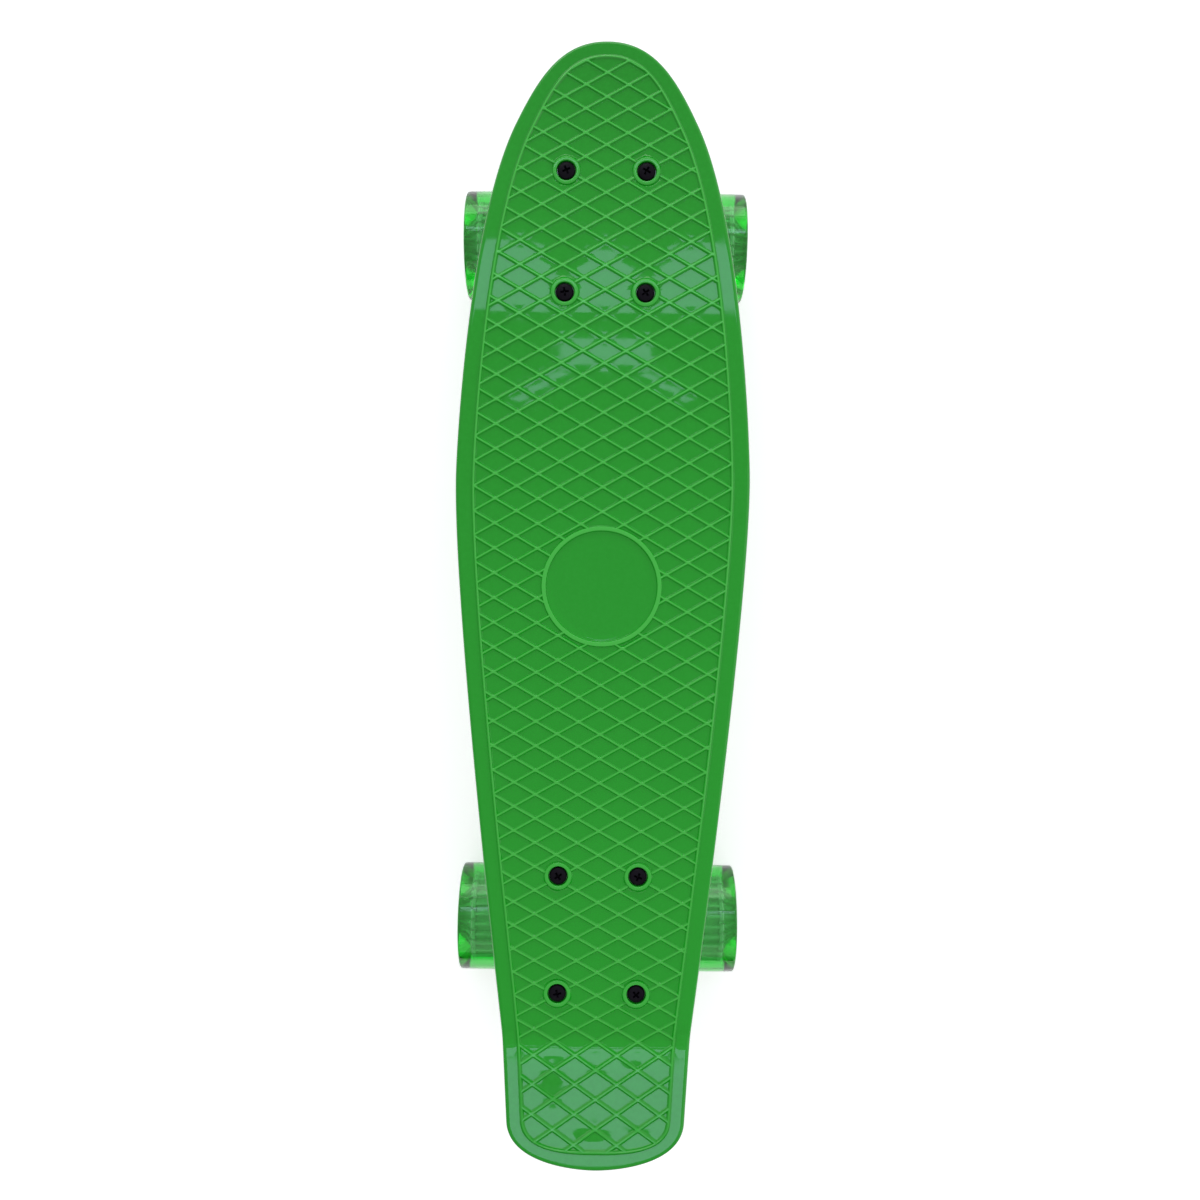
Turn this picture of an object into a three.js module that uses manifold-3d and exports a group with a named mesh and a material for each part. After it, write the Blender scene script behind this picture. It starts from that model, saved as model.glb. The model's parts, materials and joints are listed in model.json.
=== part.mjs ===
// A plastic cruiser skateboard: waffle-top deck, two kingpin trucks and four soft wheels.
// Millimetres. +Z up, +Y to the nose, +X to the rider's right when facing the nose.
// The origin is on the floor, under the middle of the deck.
import * as THREE from "three";
import { mergeVertices } from "three/addons/utils/BufferGeometryUtils.js";
import Module from "manifold-3d";

const wasm = await Module();
wasm.setup();

const degrees = (angle) => (angle * Math.PI) / 180;

// ---------------------------------------------------------------- driving dimensions

const FIT = 0.3; // gap between pieces that seat on or pass through each other

// deck outline, right half: anchor points, edge directions, curve handles, and the width of the
// smooth rim between the edge and the border rib at each anchor
const DECK_LENGTH = 576.9;
const NOSE = { handle: 24, rim: 8.6 };
const SHOULDER = { x: 47.5, y: 244.4, angle: degrees(65.3), before: 28.6, after: 53, rim: 9.2 };
const WIDEST = { x: 75, y: 59.8, before: 18.4, after: 33.3, rim: 9.3 };
const TAIL_START = { x: 52.6, y: -203.2, angle: degrees(6), before: 160.4, rim: 9 };
const TAIL_SIDE = 65.8; // straight run of the tail's side
const TAIL_CORNER = { handle: 17, rim: 8.4 };
const TAIL_END = { handle: 11.9, rim: 8.2 };
const CURVE_STEPS = 8; // points on each curve of the outline

// deck height along its length
const WHEELBASE = 363.3; // between the centres of the two screw patterns
const MID_Y = 6.55; // middle of the wheelbase
const ARCH_SPAN = 200; // the arch drops ARCH_DROP at this distance from its middle
const ARCH_DROP = 10.6;
const NOSE_FLICK = 215; // distance from the middle where the nose starts to level out
const KICK_Y = -232.4; // bend line of the tail
const KICK_ANGLE = degrees(27);
const KICK_BEND = 5; // half length of the bend
const DECK_AT_TRUCK = 9.2; // deck thickness at the middle of a truck pad

// deck section
const SKIN = 4.5;
const SKIRT_DEPTH = 12;
const SKIRT_WALL = 5.5;
const EDGE_ROUND = 2.2;
const SKIRT_DRAFT = 1;
const SKIRT_CHAMFER = 1; // at the lower edge of the skirt
const RIB_HEIGHT = 0.9;
const RIB_WIDTH = 1.9;
const RIB_ROOT = 0.4; // depth of a rib's root below the surface that it rises from
const WAFFLE_X = 21.86; // width of a diamond
const WAFFLE_Y = 12.61; // length of a diamond
const MEDALLION_R = 29.8; // middle of the ring rib
const BOSS_R = 7.15;
const BOSS_RECESS_R = 5;
const BOSS_RECESS = 1.5;
const BOSS_PROUD = 0.1; // height of a boss above the ribs
const STRINGER_X = 22; // the two long ribs underneath
const STRINGER_WALL = 3;
const CELLS_PER_CROSS_RIB = 3;
const WEB_SHORT = 1.5; // height of the skirt's lower edge below the ribs underneath
const PAD_WIDTH = 60;
const PAD_LENGTH = 88;

// truck mounting
const SCREW_X = 41.3; // across the pattern
const SCREW_Y = 63.5; // along the pattern
const SCREW_R = 2.4;
const SCREW_HEAD_R = 4.5;
const SCREW_HEAD = 2.6;
const SCREW_NUT = 4.6;
const SCREW_NUT_FLATS = 8;
const SCREW_TIP = 1.5; // thread left below the nut
const SCREW_CROWN = { edge: 0.45, shoulder: 0.85, radius: 0.72 }; // shares of the head
const HOLE_R = SCREW_R + 0.35;

// truck, measured outward from the middle of its pattern and down from its mounting face
const TRUCK_HEIGHT = 49.5; // mounting face to axle
const AXLE_OUT = 7.5;
const RING_OUT = -10.5;
const RING_DOWN = 29.5;
const PIVOT_OUT = 29.5;
const PIVOT_DOWN = 11;
const KINGPIN_LEAN = degrees(22);
const KINGPIN_R = 4.75;
const KINGPIN_HEAD_R = 8;
const KINGPIN_HEAD = 5;
const KINGPIN_NUT = 8;
const KINGPIN_TIP = 2; // thread left past the nut
const KINGPIN_CHAMFER = 1;
const KINGPIN_NUT_FLATS = 14.3;
const RING_R = 13;
const RING_BORE_R = 8.5;
const RING_THICK = 8;
const BUSHING_R = 11.5;
const BUSHING_BOARD = 10;
const BUSHING_ROAD = 10;
const BUSHING_CONE_R = 9.4; // narrow end of the road-side bushing
const WASHER = 1.5;
const WASHER_R = 10.8;
const PLATE_THICK = 6;
const PLATE_WIDTH = 54;
const PLATE_LENGTH = 82;
const PLATE_CORNER = 9;
const SEAT_BOSS_R = 12.5;
const SEAT_BOSS_RISE = 6; // reach of the seat boss past the kingpin's head, into the plate
const PLATE_RIB = { half: 4, depth: 4, start: 8 }; // between the kingpin seat and the pivot
const GUSSET = { x: 12, half: 1.5, depth: 4, inner: -24, outer: 34, slope: 8 }; // one on each side
const PIVOT_BALL_R = 4.5;
const PIVOT_CUP_R = 7;
const PIVOT_BOSS_R = 10;
const PIVOT_CUP_LENGTH = 12;
const PIVOT_CUP_FLARE = 0.4;
const PIVOT_WALL = 3; // metal behind the cup
const PIVOT_STEM = [[7.5, -18], [6.2, -12], [PIVOT_BALL_R, -7]]; // radius, distance from the ball
const HANGER_HALF = 39.5;
const HANGER_R = 9;
const HANGER_END_R = 7.5;
const HANGER_END = 8; // straight end of each arm
const HANGER_TAPER = 12;
const AXLE_R = 4;
const AXLE_CHAMFER = 0.8;
const AXLE_SHORT = 0.5; // distance from the axle's end to the wheel's outer face

// hanger web in the truck's mid-plane: distance outward from the kingpin's axis, and along it
const WEB_HALF = 8;
const WEB_OUTLINE = [
  [11, -4], [17.5, -12], [19.5, -19.5], [26, -25.5], [30.5, -20.5], [32, -6], [31, 10], [24, 13],
  [17, 13.5], [13, 8], [11, 4],
];
// hanger wings from the arms to the ring: distance across the truck, and from the axle to the ring
const WING_HALF = 4;
const WING_OUTLINE = [[-36, -3], [36, -3], [36, 4], [13, 20], [-13, 20], [-36, 4]];

// wheel
const WHEEL_R = 29.5;
const WHEEL_WIDTH = 45;
const WHEEL_LIP = 4.5;
const LIP_STEPS = 2;
const WHEEL_X = 54; // middle of the wheel from the middle of the truck
const CORE_R = 16;
const CORE_HALF = 15.7;
const BEARING_R = 11;
const BEARING_WIDTH = 7;
const BEARING_GAP = 10; // spacer between the two bearings
const RACE_R = 6; // inner ring
const AXLE_NUT = 7;
const AXLE_NUT_FLATS = 13;
const SLEEVE_PROUD = 1.5; // speed washer past the outer bearing
const CORE_STEP = 2; // depth of the shoulder between the bearing seats
const CORE_FLARE = 1;

const CLEAR = 60; // reach of cutting bodies past the metal or plastic that they cut
const SINK = 1; // depth of one body in another that it is joined to

// sides of round bodies
const EDGE_STEPS = 3;
const MEDALLION_SIDES = 36;
const BOSS_SIDES = 18;
const HOLE_SIDES = 10;
const SHANK_SIDES = 12;
const ROD_SIDES = 16;
const RING_SIDES = 20;
const TYRE_SIDES = 28;
const CORNER_STEPS = 4;
const DOME_STEPS = 3;

// ---------------------------------------------------------------- solids

// Closed geometry to a solid that can be joined and cut.
function solid(geometry) {
  const bare = geometry.index ? geometry.toNonIndexed() : geometry.clone();
  bare.deleteAttribute("normal");
  bare.deleteAttribute("uv");
  const merged = mergeVertices(bare, 1e-4);
  const kept = [];
  const index = merged.index.array;
  for (let i = 0; i < index.length; i += 3) {
    const [a, b, c] = [index[i], index[i + 1], index[i + 2]];
    if (a !== b && b !== c && c !== a) kept.push(a, b, c);
  }
  const mesh = new wasm.Mesh({
    numProp: 3,
    vertProperties: new Float32Array(merged.attributes.position.array),
    triVerts: new Uint32Array(kept),
  });
  return new wasm.Manifold(mesh);
}

function geometryOf(body) {
  const mesh = body.getMesh();
  const geometry = new THREE.BufferGeometry();
  geometry.setAttribute("position", new THREE.BufferAttribute(mesh.vertProperties, 3));
  geometry.setIndex(new THREE.BufferAttribute(mesh.triVerts, 1));
  return geometry;
}

const join = (first, ...rest) => rest.reduce((body, other) => body.add(other), first);
const cut = (first, ...rest) => rest.reduce((body, other) => body.subtract(other), first);

// Geometry moved so that its own +Z axis lies along direction, with its origin at point.
function along(geometry, point, direction) {
  const turn = new THREE.Quaternion().setFromUnitVectors(
    new THREE.Vector3(0, 0, 1),
    direction.clone().normalize(),
  );
  return geometry.applyQuaternion(turn).translate(point.x, point.y, point.z);
}

// Round bar along +Z from z0 to z1, tapering from r0 to r1.
function bar(r0, z0, z1, sides, r1 = r0) {
  const geometry = new THREE.CylinderGeometry(r1, r0, z1 - z0, sides);
  return geometry.rotateX(Math.PI / 2).translate(0, 0, (z0 + z1) / 2);
}

const upright = (x, y, r, z0, z1, sides) => bar(r, z0, z1, sides).translate(x, y, 0);

// Prism of a flat outline from z0 to z1.
function prism(points, z0, z1) {
  const shape = new THREE.Shape(points);
  const geometry = new THREE.ExtrudeGeometry(shape, { depth: z1 - z0, bevelEnabled: false });
  return geometry.translate(0, 0, z0);
}

const boxShape = (x0, y0, x1, y1) => [
  new THREE.Vector2(x0, y0),
  new THREE.Vector2(x1, y0),
  new THREE.Vector2(x1, y1),
  new THREE.Vector2(x0, y1),
];

// Rectangle with round corners, centred on (0, 0).
function roundedRectangle(width, length, corner, steps) {
  const points = [];
  for (let quarter = 0; quarter < 4; quarter += 1) {
    const sx = quarter === 0 || quarter === 3 ? 1 : -1;
    const sy = quarter < 2 ? 1 : -1;
    for (let step = 0; step <= steps; step += 1) {
      const angle = ((quarter + step / steps) * Math.PI) / 2;
      const x = sx * (width / 2 - corner) + corner * Math.cos(angle);
      const y = sy * (length / 2 - corner) + corner * Math.sin(angle);
      points.push(new THREE.Vector2(x, y));
    }
  }
  return points;
}

// Six-sided outline with the given distance across its flats.
function hexagon(flats) {
  const radius = flats / 2 / Math.cos(Math.PI / 6);
  return Array.from({ length: 6 }, (_, i) => {
    const angle = (i * Math.PI) / 3;
    return new THREE.Vector2(radius * Math.cos(angle), radius * Math.sin(angle));
  });
}

// Profile [radius, height] turned about +Z. It starts and ends on the axis, or closes on itself.
function turned(profile, sides) {
  const points = profile.map(([r, z]) => new THREE.Vector2(r, z));
  if (profile[0][0] > 0) points.push(points[0].clone());
  return new THREE.LatheGeometry(points, sides).rotateX(Math.PI / 2);
}

// Skin through a stack of outlines with the same number of points, closed at both ends.
function loft(outlines, heights) {
  const count = outlines[0].length;
  const positions = [];
  outlines.forEach((points, level) => {
    points.forEach((p) => positions.push(p.x, p.y, heights[level]));
  });
  const index = [];
  for (let level = 0; level + 1 < outlines.length; level += 1) {
    for (let i = 0; i < count; i += 1) {
      const next = (i + 1) % count;
      const a = level * count + i;
      const b = level * count + next;
      const c = b + count;
      const d = a + count;
      index.push(a, b, c, a, c, d);
    }
  }
  const top = (outlines.length - 1) * count;
  const caps = THREE.ShapeUtils.triangulateShape(outlines[0], []);
  caps.forEach(([a, b, c]) => index.push(a, c, b));
  const lids = THREE.ShapeUtils.triangulateShape(outlines[outlines.length - 1], []);
  lids.forEach(([a, b, c]) => index.push(top + a, top + b, top + c));
  const geometry = new THREE.BufferGeometry();
  geometry.setAttribute("position", new THREE.Float32BufferAttribute(positions, 3));
  geometry.setIndex(index);
  return geometry;
}

// ---------------------------------------------------------------- deck

const NOSE_Y = DECK_LENGTH / 2;
const TAIL_Y = -DECK_LENGTH / 2;

const tailWay = [-Math.sin(TAIL_START.angle), -Math.cos(TAIL_START.angle)];
const outlineAnchors = [
  { ...NOSE, at: [0, NOSE_Y], way: [1, 0], after: NOSE.handle },
  {
    ...SHOULDER,
    at: [SHOULDER.x, SHOULDER.y],
    way: [Math.cos(SHOULDER.angle), -Math.sin(SHOULDER.angle)],
  },
  { ...WIDEST, at: [WIDEST.x, WIDEST.y], way: [0, -1] },
  { ...TAIL_START, at: [TAIL_START.x, TAIL_START.y], way: tailWay, after: 0 },
  {
    ...TAIL_CORNER,
    at: [TAIL_START.x + TAIL_SIDE * tailWay[0], TAIL_START.y + TAIL_SIDE * tailWay[1]],
    way: tailWay,
    before: 0,
    after: TAIL_CORNER.handle,
  },
  { ...TAIL_END, at: [0, TAIL_Y], way: [-1, 0], before: TAIL_END.handle },
];

// Deck outline moved inward by inset, counter-clockwise from the nose. With rimShare 1 the inset
// counts from the border rib instead of the edge.
function deckOutline(inset, rimShare = 0) {
  const anchors = outlineAnchors;
  const outer = anchors.map(({ at }) => new THREE.Vector2(...at));
  const inner = anchors.map(({ at, way, rim }) => {
    const depth = inset + rimShare * rim;
    return new THREE.Vector2(at[0] + depth * way[1], at[1] - depth * way[0]);
  });
  const half = [];
  for (let i = 0; i + 1 < anchors.length; i += 1) {
    const scale = inner[i].distanceTo(inner[i + 1]) / outer[i].distanceTo(outer[i + 1]);
    const from = anchors[i];
    const to = anchors[i + 1];
    const leave = new THREE.Vector2(...from.way).multiplyScalar(from.after * scale);
    const arrive = new THREE.Vector2(...to.way).multiplyScalar(to.before * scale);
    const curve = new THREE.CubicBezierCurve(
      inner[i],
      inner[i].clone().add(leave),
      inner[i + 1].clone().sub(arrive),
      inner[i + 1],
    );
    const steps = from.after === 0 ? 1 : CURVE_STEPS;
    half.push(...curve.getPoints(steps).slice(0, -1));
  }
  const end = inner[inner.length - 1];
  const right = [...half, end];
  const left = half.slice(1).map((p) => new THREE.Vector2(-p.x, p.y));
  return [...left, ...right.reverse()];
}

const TRUCK_Y = { front: MID_Y + WHEELBASE / 2, rear: MID_Y - WHEELBASE / 2 };
const MOUNT_Z = WHEEL_R + TRUCK_HEIGHT; // mounting face of a baseplate
const PAD_Z = MOUNT_Z + FIT; // underside of the deck's truck pads

const archDrop = (distance) => ARCH_DROP * (distance / ARCH_SPAN) ** 2;
const archSlope = (distance) => (2 * ARCH_DROP * distance) / ARCH_SPAN ** 2;
const DECK_MID_Z = PAD_Z + DECK_AT_TRUCK + archDrop(WHEELBASE / 2);

// Height of the deck's top, without its ribs, at a place along its length.
function deckLine(y) {
  const distance = y - MID_Y;
  if (distance > NOSE_FLICK) {
    const past = distance - NOSE_FLICK;
    const run = NOSE_Y - MID_Y - NOSE_FLICK;
    const drop = archSlope(NOSE_FLICK) * (past - past ** 2 / (2 * run));
    return DECK_MID_Z - archDrop(NOSE_FLICK) - drop;
  }
  const bend = KICK_Y - y;
  if (bend < -KICK_BEND) return DECK_MID_Z - archDrop(distance);
  const slopeIn = archSlope(MID_Y - KICK_Y - KICK_BEND);
  const before = DECK_MID_Z - archDrop(KICK_Y + KICK_BEND - MID_Y);
  const run = bend + KICK_BEND;
  const turn = slopeIn + Math.tan(KICK_ANGLE);
  const rise = bend < KICK_BEND ? (turn * run ** 2) / (4 * KICK_BEND) : turn * bend;
  return before - slopeIn * run + rise;
}

const screwPlaces = [];
for (const truck of ["front", "rear"]) {
  for (const [end, sy] of [["outer", 1], ["inner", -1]]) {
    for (const [side, sx] of [["left", -1], ["right", 1]]) {
      const outward = truck === "front" ? 1 : -1;
      const y = TRUCK_Y[truck] + (outward * sy * SCREW_Y) / 2;
      screwPlaces.push({ name: `${truck}_${end}_${side}`, x: (sx * SCREW_X) / 2, y });
    }
  }
}

// Height that a point of the flat deck is lifted by. Bosses and the medallion stay level.
function lift(x, y) {
  const boss = screwPlaces.find((s) => Math.hypot(x - s.x, y - s.y) < BOSS_R + BOSS_PROUD);
  if (boss) return deckLine(boss.y);
  const level = MEDALLION_R + RIB_WIDTH;
  if (Math.hypot(x, y - MID_Y) < level) return deckLine(MID_Y);
  return deckLine(y);
}

// Splits the triangles of a closed mesh along lines of constant y, then lifts its points.
function bendDeck(body, stations) {
  const mesh = body.getMesh();
  const points = [];
  for (let i = 0; i < mesh.vertProperties.length; i += 3) {
    points.push(Array.from(mesh.vertProperties.slice(i, i + 3)));
  }
  let triangles = [];
  for (let i = 0; i < mesh.triVerts.length; i += 3) {
    triangles.push(Array.from(mesh.triVerts.slice(i, i + 3)));
  }
  const near = 1e-3;
  for (const station of stations) {
    const made = new Map();
    const side = points.map((p) => (Math.abs(p[1] - station) < near ? 0 : p[1] - station));
    const crossing = (a, b) => {
      const key = a < b ? `${a},${b}` : `${b},${a}`;
      if (!made.has(key)) {
        const [low, high] = a < b ? [a, b] : [b, a];
        const t = (station - points[low][1]) / (points[high][1] - points[low][1]);
        const place = points[low].map((v, k) => v + t * (points[high][k] - v));
        place[1] = station;
        points.push(place);
        made.set(key, points.length - 1);
      }
      return made.get(key);
    };
    const split = [];
    for (const triangle of triangles) {
      const signs = triangle.map((v) => Math.sign(side[v]));
      if (!(signs.includes(1) && signs.includes(-1))) {
        split.push(triangle);
        continue;
      }
      for (const keep of [1, -1]) {
        const polygon = [];
        for (let i = 0; i < 3; i += 1) {
          const a = triangle[i];
          const b = triangle[(i + 1) % 3];
          if (signs[i] !== -keep) polygon.push(a);
          if (signs[i] * signs[(i + 1) % 3] === -1) polygon.push(crossing(a, b));
        }
        for (let i = 1; i + 1 < polygon.length; i += 1) {
          split.push([polygon[0], polygon[i], polygon[i + 1]]);
        }
      }
    }
    triangles = split;
  }
  const lifted = points.flatMap(([x, y, z]) => [x, y, z + lift(x, y)]);
  return new wasm.Manifold(
    new wasm.Mesh({
      numProp: 3,
      vertProperties: new Float32Array(lifted),
      triVerts: new Uint32Array(triangles.flat()),
    }),
  );
}

// Section of a raised rib, with its root sunk into the surface.
function ribSection() {
  const slope = RIB_WIDTH / 2 / RIB_HEIGHT;
  const root = RIB_WIDTH / 2 + RIB_ROOT * slope;
  return { root, height: RIB_HEIGHT };
}

// Rib that runs all round the deck, inside its rim.
function borderRib() {
  const { root, height } = ribSection();
  const rings = [-root, 0, root].map((inset) => deckOutline(inset, 1));
  const heights = [-RIB_ROOT, height, -RIB_ROOT];
  const count = rings[0].length;
  const positions = [];
  rings.forEach((ring, level) => ring.forEach((p) => positions.push(p.x, p.y, heights[level])));
  const index = [];
  for (let level = 0; level < 3; level += 1) {
    for (let i = 0; i < count; i += 1) {
      const next = (i + 1) % count;
      const above = (level + 1) % 3;
      const [a, b] = [level * count + i, level * count + next];
      const [c, d] = [above * count + next, above * count + i];
      index.push(a, b, c, a, c, d);
    }
  }
  const geometry = new THREE.BufferGeometry();
  geometry.setAttribute("position", new THREE.Float32BufferAttribute(positions, 3));
  geometry.setIndex(index);
  return geometry;
}

// Sheet with two families of straight ribs that cross as diamonds, on a flat floor at z = 0. Each
// crossing has a peak and four corners where the feet of its ribs meet.
function waffle() {
  const slant = Math.atan2(WAFFLE_Y, WAFFLE_X);
  const cornerX = RIB_WIDTH / 2 / Math.sin(slant);
  const cornerY = RIB_WIDTH / 2 / Math.cos(slant);
  const columns = Math.ceil((2 * WIDEST.x) / WAFFLE_X) + 1;
  const rows = Math.ceil((NOSE_Y - TAIL_Y) / WAFFLE_Y) + 1;
  const point = (n, m, dx, dy, z) => [
    (n * WAFFLE_X) / 2 + dx,
    MID_Y + (m * WAFFLE_Y) / 2 + dy,
    z,
  ];
  const peak = (n, m) => point(n, m, 0, 0, RIB_HEIGHT);
  const east = (n, m) => point(n, m, cornerX, 0, 0);
  const west = (n, m) => point(n, m, -cornerX, 0, 0);
  const north = (n, m) => point(n, m, 0, cornerY, 0);
  const south = (n, m) => point(n, m, 0, -cornerY, 0);
  const top = [];
  const quad = (a, b, c, d) => top.push([a, b, c], [a, c, d]);
  for (let n = -columns; n < columns; n += 1) {
    for (let m = -rows; m < rows; m += 1) {
      if ((n + m) % 2 !== 0) continue;
      quad(peak(n, m), peak(n + 1, m + 1), west(n + 1, m + 1), north(n, m));
      quad(peak(n, m), east(n, m), south(n + 1, m + 1), peak(n + 1, m + 1));
      quad(peak(n, m), peak(n + 1, m - 1), north(n + 1, m - 1), east(n, m));
      quad(peak(n, m), south(n, m), west(n + 1, m - 1), peak(n + 1, m - 1));
      quad(east(n, m), north(n + 1, m - 1), west(n + 2, m), south(n + 1, m + 1));
    }
  }
  return thicken(top, -RIB_ROOT);
}

// Closes an open sheet of triangles with a flat underside and walls round its free edges.
function thicken(top, floor) {
  const key = ([x, y]) => `${x.toFixed(3)},${y.toFixed(3)}`;
  const positions = [];
  const sides = new Map();
  const low = ([x, y]) => [x, y, floor];
  for (const [a, b, c] of top) {
    positions.push(...a, ...b, ...c, ...low(a), ...low(c), ...low(b));
    for (const [from, to] of [[a, b], [b, c], [c, a]]) {
      const back = `${key(to)} ${key(from)}`;
      if (sides.has(back)) sides.delete(back);
      else sides.set(`${key(from)} ${key(to)}`, [from, to]);
    }
  }
  for (const [from, to] of sides.values()) {
    positions.push(...from, ...low(from), ...to, ...to, ...low(from), ...low(to));
  }
  const geometry = new THREE.BufferGeometry();
  geometry.setAttribute("position", new THREE.Float32BufferAttribute(positions, 3));
  return geometry;
}

// Rim, top and skirt of the flat deck as one block, lofted up from the skirt's lower edge.
function deckBlock() {
  const edge = [
    [-SKIRT_DEPTH, SKIRT_DRAFT + SKIRT_CHAMFER],
    [SKIRT_CHAMFER - SKIRT_DEPTH, SKIRT_DRAFT],
  ];
  for (let step = 0; step <= EDGE_STEPS; step += 1) {
    const angle = ((step / EDGE_STEPS) * Math.PI) / 2;
    edge.push([-EDGE_ROUND * (1 - Math.sin(angle)), EDGE_ROUND * (1 - Math.cos(angle))]);
  }
  return solid(loft(edge.map(([, inset]) => deckOutline(inset)), edge.map(([z]) => z)));
}

// What stands proud of the flat deck: the waffle and its border, the medallion's ring, the bosses.
function deckRelief() {
  const { root, height } = ribSection();
  const deep = -2 * RIB_ROOT;
  const high = 2 * RIB_HEIGHT;
  const field = solid(prism(deckOutline(0, 1), deep, high));
  const disc = solid(upright(0, MID_Y, MEDALLION_R, deep, high, MEDALLION_SIDES));
  const section = [[MEDALLION_R - root, -RIB_ROOT], [MEDALLION_R + root, -RIB_ROOT], [MEDALLION_R, height]];
  const ring = solid(turned(section, MEDALLION_SIDES).translate(0, MID_Y, 0));
  const ribs = cut(solid(waffle()).intersect(field), disc);
  const bosses = screwPlaces.map(({ x, y }) =>
    solid(upright(x, y, BOSS_R, -RIB_ROOT, RIB_HEIGHT + BOSS_PROUD, BOSS_SIDES)),
  );
  return join(ribs, solid(borderRib()), ring, ...bosses);
}

// Ribs under the deck: two along it and a row across it.
function deckWebs() {
  const half = STRINGER_WALL / 2;
  const low = WEB_SHORT - SKIRT_DEPTH;
  const high = SINK - SKIN;
  const outlines = [-STRINGER_X, STRINGER_X].map((x) => boxShape(x - half, TAIL_Y, x + half, NOSE_Y));
  const step = CELLS_PER_CROSS_RIB * WAFFLE_Y;
  const reach = Math.floor((NOSE_Y - MID_Y) / step);
  for (let i = -reach; i <= reach; i += 1) {
    const y = MID_Y + i * step;
    outlines.push(boxShape(-WIDEST.x, y - half, WIDEST.x, y + half));
  }
  return join(...outlines.map((outline) => solid(prism(outline, low, high))));
}

function makeDeck() {
  const pocket = solid(prism(deckOutline(SKIRT_WALL), -SKIRT_DEPTH - SINK, -SKIN));
  const eachTruck = (outline, low, high) =>
    Object.values(TRUCK_Y).map((y) => solid(prism(outline, low, high).translate(0, y, 0)));
  const padOutline = roundedRectangle(PAD_WIDTH, PAD_LENGTH, PLATE_CORNER, CORNER_STEPS);
  const pads = eachTruck(padOutline, -2 * SKIRT_DEPTH, SINK - SKIN);
  const body = join(cut(join(deckBlock(), deckRelief()), pocket), deckWebs().intersect(pocket), ...pads);
  const recesses = screwPlaces.map(({ x, y }) =>
    solid(upright(x, y, BOSS_RECESS_R, -BOSS_RECESS, BOSS_RECESS, BOSS_SIDES)),
  );
  const holes = screwPlaces.map(({ x, y }) => solid(upright(x, y, HOLE_R, -CLEAR, 0, HOLE_SIDES)));
  const bent = bendDeck(cut(body, ...recesses, ...holes), [
    KICK_Y - KICK_BEND,
    KICK_Y,
    KICK_Y + KICK_BEND,
  ]);
  const below = roundedRectangle(PAD_WIDTH + SINK, PAD_LENGTH + SINK, PLATE_CORNER, CORNER_STEPS);
  return cut(bent, ...eachTruck(below, 0, PAD_Z));
}

// ---------------------------------------------------------------- screws and nuts

const seatZ = (place) => deckLine(place.y) - BOSS_RECESS;
const NUT_TOP = MOUNT_Z - PLATE_THICK - FIT;

function makeScrew(place) {
  const tip = NUT_TOP - SCREW_NUT - SCREW_TIP;
  const bottom = seatZ(place) + FIT;
  const profile = [
    [0, tip],
    [SCREW_R, tip],
    [SCREW_R, bottom],
    [SCREW_HEAD_R, bottom],
    [SCREW_HEAD_R, bottom + SCREW_HEAD * SCREW_CROWN.edge],
    [SCREW_HEAD_R * SCREW_CROWN.radius, bottom + SCREW_HEAD * SCREW_CROWN.shoulder],
    [0, bottom + SCREW_HEAD],
  ];
  return turned(profile, SHANK_SIDES).translate(place.x, place.y, 0);
}

function makeDeckNut(place) {
  const body = solid(prism(hexagon(SCREW_NUT_FLATS), NUT_TOP - SCREW_NUT, NUT_TOP));
  const bore = solid(bar(SCREW_R + FIT, 0, MOUNT_Z, HOLE_SIDES));
  return geometryOf(cut(body, bore)).translate(place.x, place.y, 0);
}

// ---------------------------------------------------------------- trucks

// A truck is built for the nose end, outward along +Y, with its mounting face at z = 0.
const RING = new THREE.Vector3(0, RING_OUT, -RING_DOWN);
const PIVOT = new THREE.Vector3(0, PIVOT_OUT, -PIVOT_DOWN);
const AXLE = new THREE.Vector3(0, AXLE_OUT, -TRUCK_HEIGHT);
const KINGPIN_WAY = new THREE.Vector3(0, -Math.sin(KINGPIN_LEAN), -Math.cos(KINGPIN_LEAN));
const STEER_WAY = PIVOT.clone().sub(RING).normalize();
const SEAT_BOARD = -RING_THICK / 2 - BUSHING_BOARD - 2 * FIT; // along the kingpin from the ring
const WASHER_START = RING_THICK / 2 + BUSHING_ROAD + 2 * FIT;
const NUT_START = WASHER_START + WASHER + FIT;
const KINGPIN_END = NUT_START + KINGPIN_NUT + KINGPIN_TIP;
const HEAD_TOP = -(RING_DOWN - 1 - KINGPIN_HEAD_R * Math.sin(KINGPIN_LEAN)) / Math.cos(KINGPIN_LEAN);
const HEAD_SEAT = HEAD_TOP + KINGPIN_HEAD;

const onKingpin = (geometry) => along(geometry, RING, KINGPIN_WAY);
const onPivot = (geometry) => along(geometry, PIVOT, STEER_WAY);
const onAxle = (geometry) => along(geometry, AXLE, new THREE.Vector3(1, 0, 0));

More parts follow.
